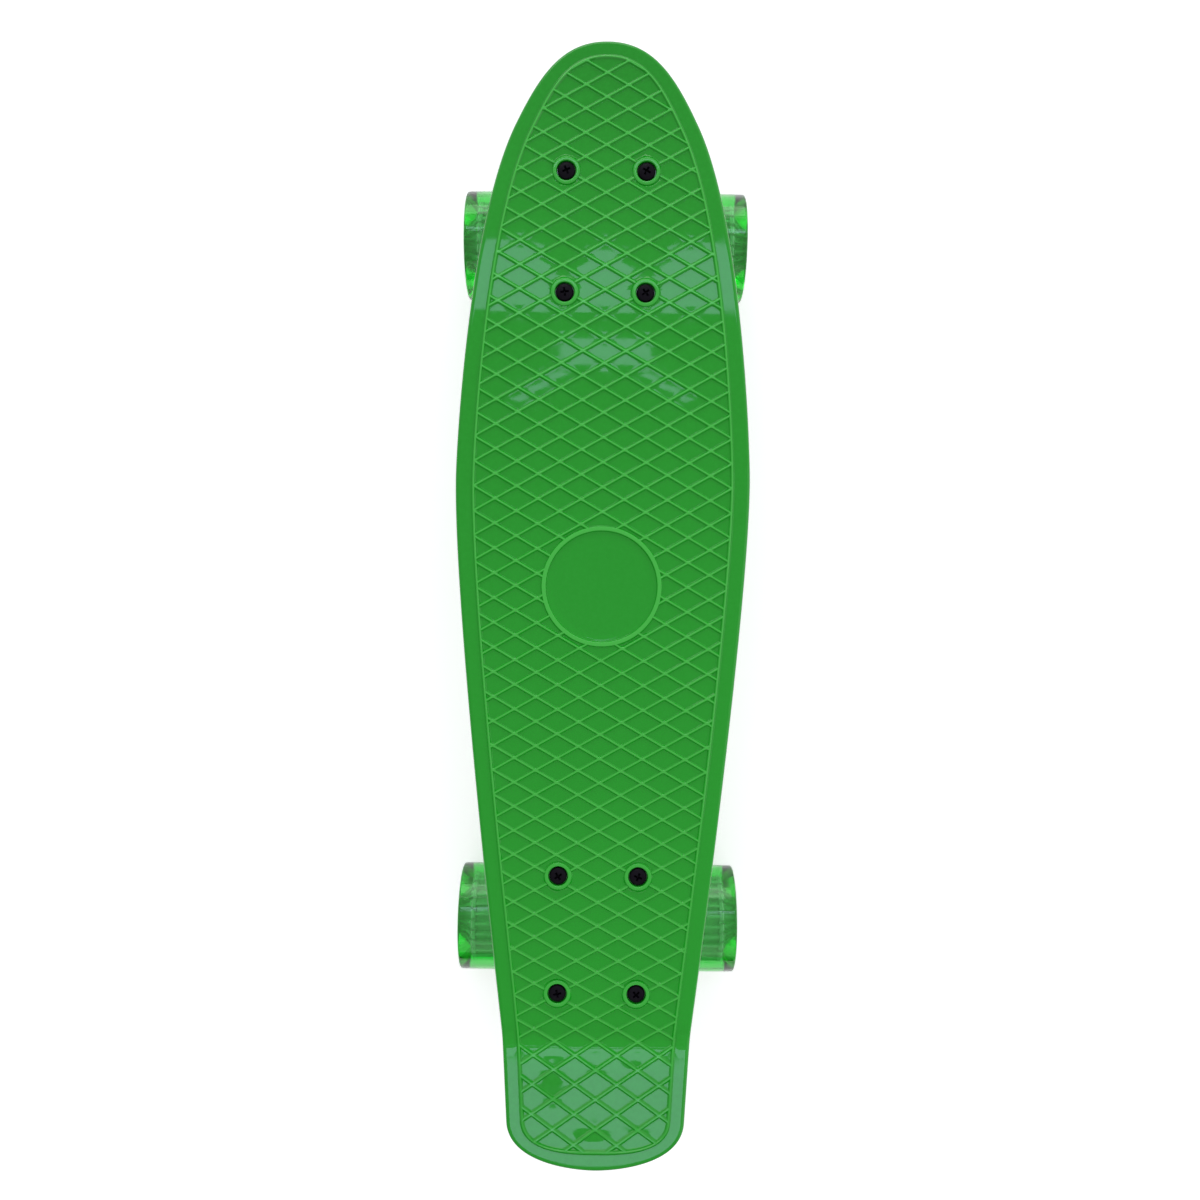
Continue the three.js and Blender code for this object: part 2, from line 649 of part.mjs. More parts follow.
function makeBaseplate() {
  const outline = roundedRectangle(PLATE_WIDTH, PLATE_LENGTH, PLATE_CORNER, CORNER_STEPS);
  const plate = solid(prism(outline, -PLATE_THICK, 0));
  const seatBoss = solid(onKingpin(bar(SEAT_BOSS_R, HEAD_TOP - SEAT_BOSS_RISE, SEAT_BOARD, RING_SIDES)));
  const cupStart = -PIVOT_CUP_LENGTH / 2;
  const cupEnd = PIVOT_CUP_LENGTH / 2;
  const pivotBoss = solid(onPivot(bar(PIVOT_BOSS_R, cupStart - SINK, cupEnd + PIVOT_WALL, BOSS_SIDES)));
  const { half, depth, start } = PLATE_RIB;
  const ribOutline = boxShape(-half, RING_OUT + start, half, PIVOT_OUT);
  const rib = solid(prism(ribOutline, -PLATE_THICK - depth, SINK - PLATE_THICK));
  const gussetOutline = [
    [GUSSET.inner, SINK - PLATE_THICK],
    [GUSSET.inner + GUSSET.slope, -PLATE_THICK - GUSSET.depth],
    [GUSSET.outer - GUSSET.slope, -PLATE_THICK - GUSSET.depth],
    [GUSSET.outer, SINK - PLATE_THICK],
  ].map(([y, z]) => new THREE.Vector2(y, z));
  const upended = new THREE.Matrix4().makeBasis(
    new THREE.Vector3(0, 1, 0),
    new THREE.Vector3(0, 0, 1),
    new THREE.Vector3(1, 0, 0),
  );
  const gussets = [-GUSSET.x, GUSSET.x].map((x) =>
    solid(prism(gussetOutline, -GUSSET.half, GUSSET.half).applyMatrix4(upended).translate(x, 0, 0)),
  );
  const above = solid(prism(boxShape(-CLEAR, -CLEAR, CLEAR, CLEAR), 0, CLEAR));
  const head = solid(onKingpin(bar(KINGPIN_HEAD_R + FIT, -CLEAR, HEAD_SEAT + FIT, SHANK_SIDES)));
  const shank = solid(onKingpin(bar(KINGPIN_R + FIT, -CLEAR, 0, SHANK_SIDES)));
  const cup = solid(onPivot(bar(PIVOT_CUP_R + FIT, -CLEAR / 2, cupEnd + FIT, ROD_SIDES)));
  const stemRoom = solid(onPivot(bar(2 * PIVOT_BOSS_R, -CLEAR / 2, cupStart - SINK, ROD_SIDES)));
  const holes = [];
  for (const x of [-SCREW_X / 2, SCREW_X / 2]) {
    for (const y of [-SCREW_Y / 2, SCREW_Y / 2]) {
      holes.push(solid(upright(x, y, HOLE_R, -CLEAR, SINK, HOLE_SIDES)));
    }
  }
  const body = join(plate, seatBoss, ...gussets, cut(join(pivotBoss, rib), stemRoom));
  return geometryOf(cut(body, above, head, shank, cup, ...holes));
}

// Profile of a round end of radius r, from its widest place to its tip.
const domeProfile = (r) =>
  Array.from({ length: DOME_STEPS + 1 }, (_, i) => {
    const angle = ((i / DOME_STEPS) * Math.PI) / 2;
    return i === DOME_STEPS ? [0, r] : [r * Math.cos(angle), r * Math.sin(angle)];
  });

function makePivotCup() {
  const half = PIVOT_CUP_LENGTH / 2;
  const bore = PIVOT_BALL_R + FIT;
  const profile = [
    ...domeProfile(bore).reverse(),
    [bore + PIVOT_CUP_FLARE, -half],
    [PIVOT_CUP_R, -half],
    [PIVOT_CUP_R, half],
    [0, half],
  ];
  return onPivot(turned(profile, SHANK_SIDES));
}

// Profile mirrored about its middle: right lists [radius, distance] from the middle outward.
const mirrored = (right) => [...right.map(([r, t]) => [r, -t]).reverse(), ...right];

function makeHanger() {
  const tube = solid(
    onAxle(turned(mirrored([
      [HANGER_R, HANGER_HALF - HANGER_END - HANGER_TAPER],
      [HANGER_END_R, HANGER_HALF - HANGER_END],
      [HANGER_END_R, HANGER_HALF],
      [0, HANGER_HALF],
    ]), ROD_SIDES)),
  );
  const ringHalf = RING_THICK / 2;
  const ring = solid(onKingpin(bar(RING_R, -ringHalf, ringHalf, RING_SIDES)));
  const stemProfile = [[0, PIVOT_STEM[0][1]], ...PIVOT_STEM, ...domeProfile(PIVOT_BALL_R)];
  const stem = solid(onPivot(turned(stemProfile, SHANK_SIDES)));

  const across = new THREE.Vector3(0, Math.cos(KINGPIN_LEAN), -Math.sin(KINGPIN_LEAN));
  const inPlane = new THREE.Matrix4()
    .makeBasis(across, KINGPIN_WAY, new THREE.Vector3(-1, 0, 0))
    .setPosition(RING);
  const webOutline = WEB_OUTLINE.map(([w, t]) => new THREE.Vector2(w, t));
  const web = solid(prism(webOutline, -WEB_HALF, WEB_HALF).applyMatrix4(inPlane));

  const toRing = RING.clone().sub(AXLE).normalize();
  const side = new THREE.Vector3(1, 0, 0);
  const wingPlane = new THREE.Matrix4()
    .makeBasis(side, toRing, side.clone().cross(toRing))
    .setPosition(AXLE);
  const wingOutline = WING_OUTLINE.map(([x, d]) => new THREE.Vector2(x, d));
  const wings = solid(prism(wingOutline, -WING_HALF, WING_HALF).applyMatrix4(wingPlane));

  const bore = solid(onKingpin(bar(RING_BORE_R, -RING_THICK, RING_THICK, ROD_SIDES)));
  const washerRoom = SEAT_BOSS_R + 2 * FIT;
  const roadRoom = solid(onKingpin(bar(washerRoom, ringHalf, CLEAR, RING_SIDES)));
  const boardRoom = solid(onKingpin(bar(washerRoom + FIT, -CLEAR, -ringHalf, RING_SIDES)));
  const axleBore = solid(onAxle(bar(AXLE_R + FIT, -CLEAR, CLEAR, SHANK_SIDES)));
  const body = join(tube, ring, web, wings);
  return geometryOf(cut(join(cut(body, boardRoom), stem), bore, roadRoom, axleBore));
}

function makeKingpin() {
  const profile = [
    [0, HEAD_TOP],
    [KINGPIN_HEAD_R, HEAD_TOP],
    [KINGPIN_HEAD_R, HEAD_SEAT],
    [KINGPIN_R, HEAD_SEAT],
    [KINGPIN_R, KINGPIN_END - KINGPIN_CHAMFER],
    [KINGPIN_R - KINGPIN_CHAMFER, KINGPIN_END],
    [0, KINGPIN_END],
  ];
  return onKingpin(turned(profile, SHANK_SIDES));
}

// Ring on the kingpin, from t0 to t1 along it.
function kingpinRing(t0, t1, r0, r1 = r0) {
  const bore = KINGPIN_R + FIT;
  return onKingpin(turned([[bore, t0], [r0, t0], [r1, t1], [bore, t1]], ROD_SIDES));
}

function makeKingpinNut() {
  const body = solid(prism(hexagon(KINGPIN_NUT_FLATS), NUT_START, NUT_START + KINGPIN_NUT));
  return onKingpin(geometryOf(cut(body, solid(bar(KINGPIN_R + FIT, 0, CLEAR, SHANK_SIDES)))));
}

function makeAxle() {
  const half = WHEEL_X + WHEEL_WIDTH / 2 - AXLE_SHORT;
  const end = [[AXLE_R, half - AXLE_CHAMFER], [AXLE_R - AXLE_CHAMFER, half], [0, half]];
  return onAxle(turned(mirrored(end), SHANK_SIDES));
}

const BEARING_END = BEARING_GAP / 2 + BEARING_WIDTH; // from the wheel's middle
const SLEEVE_END = BEARING_END + SLEEVE_PROUD;

function makeAxleNut(sign) {
  const start = WHEEL_X + SLEEVE_END + FIT;
  const body = solid(prism(hexagon(AXLE_NUT_FLATS), start, start + AXLE_NUT));
  const nut = geometryOf(cut(body, solid(bar(AXLE_R + FIT, 0, 2 * CLEAR, SHANK_SIDES))));
  return along(nut, AXLE, new THREE.Vector3(sign, 0, 0));
}

// ---------------------------------------------------------------- wheels

// Wheel pieces are built about the +X axis with the wheel's middle at the origin.
const onWheel = (geometry) => along(geometry, new THREE.Vector3(), new THREE.Vector3(1, 0, 0));

function makeTyre() {
  const half = WHEEL_WIDTH / 2;
  const right = [];
  for (let i = LIP_STEPS; i >= 0; i -= 1) {
    const angle = ((i / LIP_STEPS) * Math.PI) / 2;
    const r = WHEEL_R - WHEEL_LIP * (1 - Math.sin(angle));
    right.push([r, half - WHEEL_LIP * (1 - Math.cos(angle))]);
  }
  right.push([CORE_R + FIT, CORE_HALF]);
  return onWheel(turned(mirrored(right), TYRE_SIDES));
}

function makeCore() {
  const seat = BEARING_R + FIT;
  const shoulder = BEARING_GAP / 2 - FIT;
  const right = [
    [CORE_R, CORE_HALF],
    [seat + CORE_FLARE, CORE_HALF],
    [seat, shoulder],
    [seat - CORE_STEP, shoulder],
  ];
  return onWheel(turned(mirrored(right), ROD_SIDES));
}

// Outer ring and shields of one bearing, with its face nearest the wheel's middle at start.
function makeBearing(start) {
  const bore = RACE_R + FIT;
  const end = start + BEARING_WIDTH;
  return onWheel(turned([[bore, start], [BEARING_R, start], [BEARING_R, end], [bore, end]], ROD_SIDES));
}

function makeSleeve() {
  const inner = HANGER_HALF + FIT - WHEEL_X;
  const bore = AXLE_R + FIT;
  const profile = [[bore, inner], [RACE_R, inner], [RACE_R, SLEEVE_END], [bore, SLEEVE_END]];
  return onWheel(turned(profile, SHANK_SIDES));
}

// ---------------------------------------------------------------- materials and assembly

const finish = (color, roughness, metalness) =>
  new THREE.MeshStandardMaterial({ color, roughness, metalness });
const plastic = finish(0x2e9633, 0.25, 0);
const black = finish(0x15131a, 0.35, 0.6);
const castMetal = finish(0xa8abad, 0.35, 0.9);
const steel = finish(0xb9bcc0, 0.3, 1);
const rubber = finish(0xd8d4c6, 0.6, 0);
const cupRubber = finish(0x222222, 0.7, 0);
const urethane = finish(0x7fb58c, 0.3, 0);
const nylon = finish(0xdcdcd4, 0.5, 0);

function piece(parent, name, geometry, material) {
  const mesh = new THREE.Mesh(geometry, material);
  mesh.name = name;
  parent.add(mesh);
}

const board = new THREE.Group();
piece(board, "deck", geometryOf(makeDeck()), plastic);
for (const place of screwPlaces) {
  piece(board, `deck_screw_${place.name}`, makeScrew(place), black);
  piece(board, `deck_nut_${place.name}`, makeDeckNut(place), steel);
}

for (const end of ["front", "rear"]) {
  const truck = new THREE.Group();
  truck.position.set(0, TRUCK_Y[end], MOUNT_Z);
  truck.rotation.z = end === "front" ? 0 : Math.PI;
  board.add(truck);
  const boardBushing = [-RING_THICK / 2 - FIT - BUSHING_BOARD, -RING_THICK / 2 - FIT];
  const roadBushing = [RING_THICK / 2 + FIT, RING_THICK / 2 + FIT + BUSHING_ROAD];
  const washer = [WASHER_START, WASHER_START + WASHER];
  piece(truck, `${end}_baseplate`, makeBaseplate(), castMetal);
  piece(truck, `${end}_pivot_cup`, makePivotCup(), cupRubber);
  piece(truck, `${end}_kingpin`, makeKingpin(), steel);
  piece(truck, `${end}_bushing_board`, kingpinRing(...boardBushing, BUSHING_R), rubber);
  const cone = kingpinRing(...roadBushing, BUSHING_R, BUSHING_CONE_R);
  piece(truck, `${end}_bushing_road`, cone, rubber);
  piece(truck, `${end}_washer_road`, kingpinRing(...washer, WASHER_R), steel);
  piece(truck, `${end}_kingpin_nut`, makeKingpinNut(), steel);
  piece(truck, `${end}_hanger`, makeHanger(), castMetal);
  piece(truck, `${end}_axle`, makeAxle(), steel);
  for (const [side, sign] of [["left", -1], ["right", 1]]) {
    const outward = end === "front" ? sign : -sign;
    piece(truck, `${end}_axle_nut_${side}`, makeAxleNut(outward), steel);
    const wheel = new THREE.Group();
    wheel.position.set(outward * WHEEL_X, AXLE.y, AXLE.z);
    wheel.rotation.z = outward > 0 ? 0 : Math.PI;
    truck.add(wheel);
    const name = `${end}_${side}`;
    piece(wheel, `tyre_${name}`, makeTyre(), urethane);
    piece(wheel, `core_${name}`, makeCore(), nylon);
    piece(wheel, `bearing_outer_${name}`, makeBearing(BEARING_GAP / 2), steel);
    piece(wheel, `bearing_inner_${name}`, makeBearing(-BEARING_END), steel);
    piece(wheel, `sleeve_${name}`, makeSleeve(), steel);
  }
}

export default board;
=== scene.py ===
"""Looks of a plastic cruiser skateboard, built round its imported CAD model.

Metres, +Z up, +Y to the nose. Sizes inside the shape functions are millimetres, as in the CAD source,
and become metres when a mesh is made.
"""

import json
import math

import bmesh
import bpy
import numpy as np
from mathutils import Matrix, Vector


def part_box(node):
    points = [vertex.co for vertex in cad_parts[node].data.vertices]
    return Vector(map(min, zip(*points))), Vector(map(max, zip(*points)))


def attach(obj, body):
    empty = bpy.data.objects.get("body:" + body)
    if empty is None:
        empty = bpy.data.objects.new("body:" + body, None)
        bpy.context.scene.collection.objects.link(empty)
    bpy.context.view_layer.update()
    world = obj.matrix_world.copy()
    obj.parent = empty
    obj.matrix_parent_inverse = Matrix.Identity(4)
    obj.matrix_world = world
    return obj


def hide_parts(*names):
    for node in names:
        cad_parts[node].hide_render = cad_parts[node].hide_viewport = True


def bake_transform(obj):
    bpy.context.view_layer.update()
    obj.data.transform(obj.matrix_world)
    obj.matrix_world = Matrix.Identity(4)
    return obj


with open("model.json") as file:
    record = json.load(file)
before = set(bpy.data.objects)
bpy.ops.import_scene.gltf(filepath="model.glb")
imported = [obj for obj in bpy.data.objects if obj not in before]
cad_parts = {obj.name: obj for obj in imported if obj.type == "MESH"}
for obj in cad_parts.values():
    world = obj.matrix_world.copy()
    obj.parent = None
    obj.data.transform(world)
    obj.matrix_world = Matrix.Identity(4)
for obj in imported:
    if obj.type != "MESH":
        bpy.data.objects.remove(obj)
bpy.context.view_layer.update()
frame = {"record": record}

MM = 0.001
ENDS = ("front", "rear")
SIDES = ("left", "right")

# ---------------------------------------------------------------- sizes, read from the frame


def centre(node):
    """Middle of a CAD node's box, in millimetres."""
    low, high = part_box(node)
    return np.array((low + high) / 2) / MM


def extent(node):
    """Lowest and highest corner of a CAD node, in millimetres."""
    low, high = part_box(node)
    return np.array(low) / MM, np.array(high) / MM


SCREWS = [
    {"name": f"{end}_{row}_{side}", "at": centre(f"deck_screw_{end}_{row}_{side}")}
    for end in ENDS
    for row in ("outer", "inner")
    for side in SIDES
]
TRUCK_Y = {
    end: (centre(f"deck_screw_{end}_outer_left")[1] + centre(f"deck_screw_{end}_inner_left")[1]) / 2
    for end in ENDS
}
MID_Y = sum(TRUCK_Y.values()) / 2
MOUNT_Z = extent("front_baseplate")[1][2]
DECK_LOW, DECK_HIGH = extent("deck")
NOSE_Y = DECK_HIGH[1]
TAIL_Y = DECK_LOW[1]
DECK_MID_Z = frame["record"]["mounts"][0]["pos_m"][2] / MM

# ---------------------------------------------------------------- deck sizes

# outline, right half: anchor, direction of travel, handles before and after, and the rib's inset
SHOULDER_ANGLE = math.radians(65.3)
TAIL_ANGLE = math.radians(6)
TAIL_WAY = (-math.sin(TAIL_ANGLE), -math.cos(TAIL_ANGLE))
TAIL_SIDE = 65.8
TAIL_START = (52.6, -203.2)
TAIL_CORNER = (TAIL_START[0] + TAIL_SIDE * TAIL_WAY[0], TAIL_START[1] + TAIL_SIDE * TAIL_WAY[1])
ANCHORS = (
    {"at": (0, NOSE_Y), "way": (1, 0), "before": 0, "after": 24, "rim": 8.6},
    {
        "at": (47.5, 244.4),
        "way": (math.cos(SHOULDER_ANGLE), -math.sin(SHOULDER_ANGLE)),
        "before": 28.6,
        "after": 53,
        "rim": 9.2,
    },
    {"at": (75, 59.8), "way": (0, -1), "before": 18.4, "after": 33.3, "rim": 9.3},
    {"at": TAIL_START, "way": TAIL_WAY, "before": 160.4, "after": 0, "rim": 9.0},
    {"at": TAIL_CORNER, "way": TAIL_WAY, "before": 0, "after": 17, "rim": 8.4},
    {"at": (0, TAIL_Y), "way": (-1, 0), "before": 11.9, "after": 0, "rim": 8.2},
)
CURVE_STEPS = 56
STRAIGHT_STEPS = 14

ARCH_SPAN = 200
ARCH_DROP = 10.6
NOSE_FLICK = 215
KICK_Y = -232.4
KICK_SLOPE = math.tan(math.radians(27))
KICK_BEND = 5

SKIN = 4.5
SKIRT_DEPTH = 12
SKIRT_WALL = 5.5
SKIRT_DRAFT = 1
EDGE_ROUND = 2.2
RIB_HEIGHT = 0.9
RIB_HALF = 1.25  # from a rib's crest to its foot
RIB_FLAT = 0.12  # half of the flat on a rib's crest
RIB_SINK = 0.5  # depth of the rib solids below the deck's surface
WAFFLE_X = 21.86
WAFFLE_Y = 12.61
PILLOW = 0.018  # crown of a cell between the ribs
SINK_DEPTH = 0.7
SINK_HALF = 9.3
TAIL_DENT = 0.48
FLICK_RUN = 1.15  # length over which the nose levels out, as a share of what is left of the deck
MEDALLION_R = 29.8
BOSS_R = 7.15
BOSS_HEIGHT = 1.0
RECESS_R = 5
RECESS = 1.5
HOLE_R = 2.75
STRINGER_X = 22
WEB = 3
PAD = (60, 88)
PAD_CORNER = 9

# ---------------------------------------------------------------- mesh helpers


def mesh_object(name, points, faces, source=None):
    """Object of the points, given in millimetres, and faces, in the scene."""
    mesh = bpy.data.meshes.new(name)
    mesh.from_pydata((np.asarray(points, float) * MM).tolist(), [], faces)
    mesh.validate()
    mesh.update()
    if source is not None:
        mesh.materials.append(bpy.data.materials.get(source) or bpy.data.materials.new(source))
    made = bpy.data.objects.new(name, mesh)
    bpy.context.scene.collection.objects.link(made)
    return made


def remove(*objects):
    for o in objects:
        mesh = o.data
        bpy.data.objects.remove(o)
        if mesh.users == 0:
            bpy.data.meshes.remove(mesh)


def values(items, name, width=1, kind=float):
    """An attribute of every item, with a row for each."""
    found = np.zeros(len(items) * width, kind)
    items.foreach_get(name, found)
    return found.reshape(-1, width) if width > 1 else found


def bake_modifiers(o):
    """Replaces an object's mesh by what its modifiers make of it."""
    graph = bpy.context.evaluated_depsgraph_get()
    mesh = bpy.data.meshes.new_from_object(o.evaluated_get(graph))
    old = o.data
    o.modifiers.clear()
    o.data = mesh
    if old.users == 0:
        bpy.data.meshes.remove(old)
    return o


def boolean(o, operation, *tools):
    """Joins, cuts or intersects o with the tools, which are then removed."""
    for tool in tools:
        step = o.modifiers.new("boolean", "BOOLEAN")
        step.operation = operation
        step.solver = "MANIFOLD"
        step.material_mode = "TRANSFER"
        step.object = tool
    bake_modifiers(o)
    remove(*tools)
    return o


def loft(name, rings, heights, source=None, closed=False):
    """Solid through rings with equal numbers of points, listed from the bottom up, counter-clockwise.
    A closed loft joins its last ring to its first, as a ring-shaped rib does."""
    count = len(rings[0])
    points = np.concatenate(
        [np.column_stack([ring, np.full(count, height)]) for ring, height in zip(rings, heights)]
    )
    faces = []
    levels = len(rings) if closed else len(rings) - 1
    for level in range(levels):
        low = level * count
        high = ((level + 1) % len(rings)) * count
        for i in range(count):
            j = (i + 1) % count
            faces.append((low + i, low + j, high + j, high + i))
    if not closed:
        faces.append(tuple(range(count - 1, -1, -1)))
        top = (len(rings) - 1) * count
        faces.append(tuple(range(top, top + count)))
    return mesh_object(name, points, faces, source)


def prism(name, outline, low, high, source=None):
    return loft(name, [outline, outline], [low, high], source)


def circle(radius, count, x=0, y=0):
    turn = np.arange(count) * 2 * math.pi / count
    return np.column_stack([x + radius * np.cos(turn), y + radius * np.sin(turn)])


def rectangle(x0, y0, x1, y1):
    return np.array([(x0, y0), (x1, y0), (x1, y1), (x0, y1)], float)


def rounded_rectangle(width, length, corner, x=0, y=0, steps=8):
    points = []
    for quarter, (sx, sy) in enumerate(((1, 1), (-1, 1), (-1, -1), (1, -1))):
        for step in range(steps + 1):
            angle = (quarter + step / steps) * math.pi / 2
            points.append(
                (
                    x + sx * (width / 2 - corner) + corner * math.cos(angle),
                    y + sy * (length / 2 - corner) + corner * math.sin(angle),
                )
            )
    return np.array(points)


def turned(name, profile, count, x=0, y=0, z=0, source=None, pitch=1):
    """Solid of revolution about an upright axis. The profile is (radius, height) from the axis or closed.
    A third value is the depth of a thread of that pitch at that place."""
    turn = np.arange(count) / count
    points = []
    index = []
    for r, h, *cut in profile:
        if r < 1e-9:
            index.append([len(points)] * count)
            points.append((x, y, z + h))
            continue
        index.append(list(range(len(points), len(points) + count)))
        groove = np.abs((h / pitch - turn) % 1 - 0.5) * 2 if cut else 0 * turn
        radius = r - (cut[0] if cut else 0) * groove
        for angle, rr in zip(2 * math.pi * turn, radius):
            points.append((x + rr * math.cos(angle), y + rr * math.sin(angle), z + h))
    faces = []
    pairs = list(zip(index, index[1:]))
    if profile[0][0] > 1e-9 and profile[-1][0] > 1e-9:
        pairs.append((index[-1], index[0]))
    for low, high in pairs:
        for i in range(count):
            j = (i + 1) % count
            corners = [low[i], low[j], high[j], high[i]]
            face = [c for k, c in enumerate(corners) if c != corners[k - 1]]
            if len(set(face)) > 2:
                faces.append(tuple(face))
    return mesh_object(name, points, faces, source)


def thread(radius, depth, pitch, start, end):
    """Profile rows of a thread, which fades in and out over half a turn."""
    rows = []
    for h in np.arange(start, end, pitch / 6):
        fade = min(1, (h - start) / pitch * 2, (end - h) / pitch * 2)
        rows.append((radius, h, depth * max(0, fade)))
    return rows


def mirrored(profile):
    """Profile from the middle outward, and its mirror image."""
    return [(r, -h) for r, h in reversed(profile) if h] + list(profile)


def rounded(points, radius, steps=4):
    """Open profile with its inner corners rounded."""
    points = [np.array(p, float) for p in points]
    out = [tuple(points[0])]
    for before, corner, after in zip(points, points[1:], points[2:]):
        to_before, to_after = before - corner, after - corner
        reach = min(radius, np.linalg.norm(to_before) * 0.48, np.linalg.norm(to_after) * 0.48)
        first = corner + to_before / np.linalg.norm(to_before) * reach
        last = corner + to_after / np.linalg.norm(to_after) * reach
        for step in range(steps + 1):
            t = step / steps
            out.append(tuple((1 - t) ** 2 * first + 2 * t * (1 - t) * corner + t * t * last))
    out.append(tuple(points[-1]))
    return out


def hexagon(flats):
    return circle(flats / 2 / math.cos(math.pi / 6), 6)


def placed(o, matrix):
    """Moves an object's mesh by a matrix whose shift is in millimetres."""
    matrix = matrix.copy()
    matrix.translation *= MM
    o.data.transform(matrix)
    o.data.update()
    return o


def along(point, direction):
    """Matrix that takes +Z to a direction and the origin to a point."""
    turn = Vector((0, 0, 1)).rotation_difference(Vector(direction)).to_matrix().to_4x4()
    return Matrix.Translation(Vector(point)) @ turn


def shade(o, angle=32):
    """Smooth, with sharp edges where faces meet at more than the angle."""
    o.data.shade_smooth()
    o.data.set_sharp_from_angle(angle=math.radians(angle))
    return o


def cast(name, forms, cuts, grain=0.7, ease=6):
    """Casting: forms joined with soft fillets between them, and then machined by the cuts."""
    body = forms[0]
    body.name = name
    boolean(body, "UNION", *forms[1:])
    step = body.modifiers.new("skin", "REMESH")
    step.mode = "VOXEL"
    step.voxel_size = grain * MM
    step = body.modifiers.new("ease", "SMOOTH")
    step.factor = 0.5
    step.iterations = ease
    bake_modifiers(body)
    boolean(body, "DIFFERENCE", *cuts)
    return body


# ---------------------------------------------------------------- deck shape


def bezier(p0, p1, p2, p3, steps):
    t = np.linspace(0, 1, steps + 1)[:-1, None]
    return (
        (1 - t) ** 3 * p0 + 3 * (1 - t) ** 2 * t * p1 + 3 * (1 - t) * t**2 * p2 + t**3 * p3
    )


def deck_outline(inset, from_rib=False):
    """Outline of the deck moved inward, counter-clockwise. From the rib, the inset is past the border rib."""
    outer = [np.array(a["at"], float) for a in ANCHORS]
    way = [np.array(a["way"], float) for a in ANCHORS]
    depth = [inset + (a["rim"] if from_rib else 0) for a in ANCHORS]
    inner = [p + d * np.array((w[1], -w[0])) for p, w, d in zip(outer, way, depth)]
    half = []
    for i in range(len(ANCHORS) - 1):
        share = np.linalg.norm(inner[i + 1] - inner[i]) / np.linalg.norm(outer[i + 1] - outer[i])
        leave = ANCHORS[i]["after"] * share * way[i]
        arrive = ANCHORS[i + 1]["before"] * share * way[i + 1]
        steps = CURVE_STEPS if ANCHORS[i]["after"] else STRAIGHT_STEPS
        half.append(
            bezier(inner[i], inner[i] + leave, inner[i + 1] - arrive, inner[i + 1], steps)
        )
    right = np.concatenate([*half, inner[-1][None]])
    left = right[1:] * (-1, 1)
    return np.concatenate([left, right[::-1]])[:-1]


def arch_drop(distance):
    return ARCH_DROP * (distance / ARCH_SPAN) ** 2


def arch_slope(distance):
    return 2 * ARCH_DROP * distance / ARCH_SPAN**2


def deck_line(y):
    """Height of the deck's surface at places along its length."""
    y = np.asarray(y, float)
    distance = y - MID_Y
    arch = DECK_MID_Z - arch_drop(distance)
    past = distance - NOSE_FLICK
    flick_run = FLICK_RUN * (NOSE_Y - MID_Y - NOSE_FLICK)
    flick = (
        DECK_MID_Z
        - arch_drop(NOSE_FLICK)
        - arch_slope(NOSE_FLICK) * (past - past**2 / (2 * flick_run))
    )
    slope_in = arch_slope(MID_Y - KICK_Y - KICK_BEND)
    before = DECK_MID_Z - arch_drop(KICK_Y + KICK_BEND - MID_Y)
    bend = KICK_Y - y
    run = bend + KICK_BEND
    turn = slope_in + KICK_SLOPE
    rise = np.where(bend < KICK_BEND, turn * run**2 / (4 * KICK_BEND), turn * bend)
    tail = before - slope_in * run + rise
    return np.where(distance > NOSE_FLICK, flick, np.where(bend < -KICK_BEND, arch, tail))


def smooth(t):
    t = np.clip(t, 0, 1)
    return t * t * (3 - 2 * t)


def level(x, y):
    """Place along the deck whose height a point takes: bosses and the medallion stay level."""
    place = np.array(y, float)
    for screw in SCREWS:
        sx, sy, _ = screw["at"]
        near = 1 - smooth((np.hypot(x - sx, y - sy) - BOSS_R - 0.1) / 0.6)
        place = place + near * (sy - y)
    near = 1 - smooth((np.hypot(x, y - MID_Y) - MEDALLION_R - RIB_HALF) / 9)
    return place + near * (MID_Y - y)


def sink(x, y):
    """Moulding waviness: a sink mark on the nose side of the inner bosses, shallow dents in the tail."""
    total = 0
    for screw in SCREWS:
        if "outer" in screw["name"]:
            continue
        sx, sy, _ = screw["at"]
        fall = smooth((y - sy + 8) / 40) * (1 - smooth((y - sy - 30) / 60))
        total = total - SINK_DEPTH * fall * np.exp(-((x - sx) ** 2) / (2 * SINK_HALF**2))
    in_tail = smooth((KICK_Y - KICK_BEND - y) / 9) * smooth((y - TAIL_Y - 11) / 9)
    in_tail = in_tail * smooth((36 - np.abs(x)) / 9)
    wave = np.sin(x / 6.7 + 1.8) * np.sin(y / 8.75 + 1.75 + x / 34)
    return total - TAIL_DENT * in_tail * (1 + wave) / 2


def lift(x, y):
    return deck_line(level(x, y)) + sink(x, y)


def rib_bump(distance):
    """Section of a rib: 1 at its crest, 0 from its foot outward."""
    return 1 - smooth((np.abs(distance) - RIB_FLAT) / (RIB_HALF - RIB_FLAT))


WAFFLE_PITCH = 1 / math.hypot(1 / WAFFLE_X, 1 / WAFFLE_Y)  # between parallel ribs


def waffle_relief(x, y):
    """Height of the waffle above the plain deck: two families of ribs round faintly pillowed cells."""
    a = x / WAFFLE_X + (y - MID_Y) / WAFFLE_Y
    b = x / WAFFLE_X - (y - MID_Y) / WAFFLE_Y
    first = rib_bump((a - np.round(a)) * WAFFLE_PITCH)
    second = rib_bump((b - np.round(b)) * WAFFLE_PITCH)
    clear = (1 - first) * (1 - second)
    u = a - np.floor(a) - 0.5
    v = b - np.floor(b) - 0.5
    across = 3 * ((u + v) / 2) ** 2
    lengthwise = 8 * ((u - v) / 2) ** 2
    pillow = 1 - across - lengthwise * (1 - across)
    return RIB_HEIGHT * (1 - clear) + PILLOW * pillow * clear


def top_height(x, y):
    return lift(x, y) + waffle_relief(x, y)


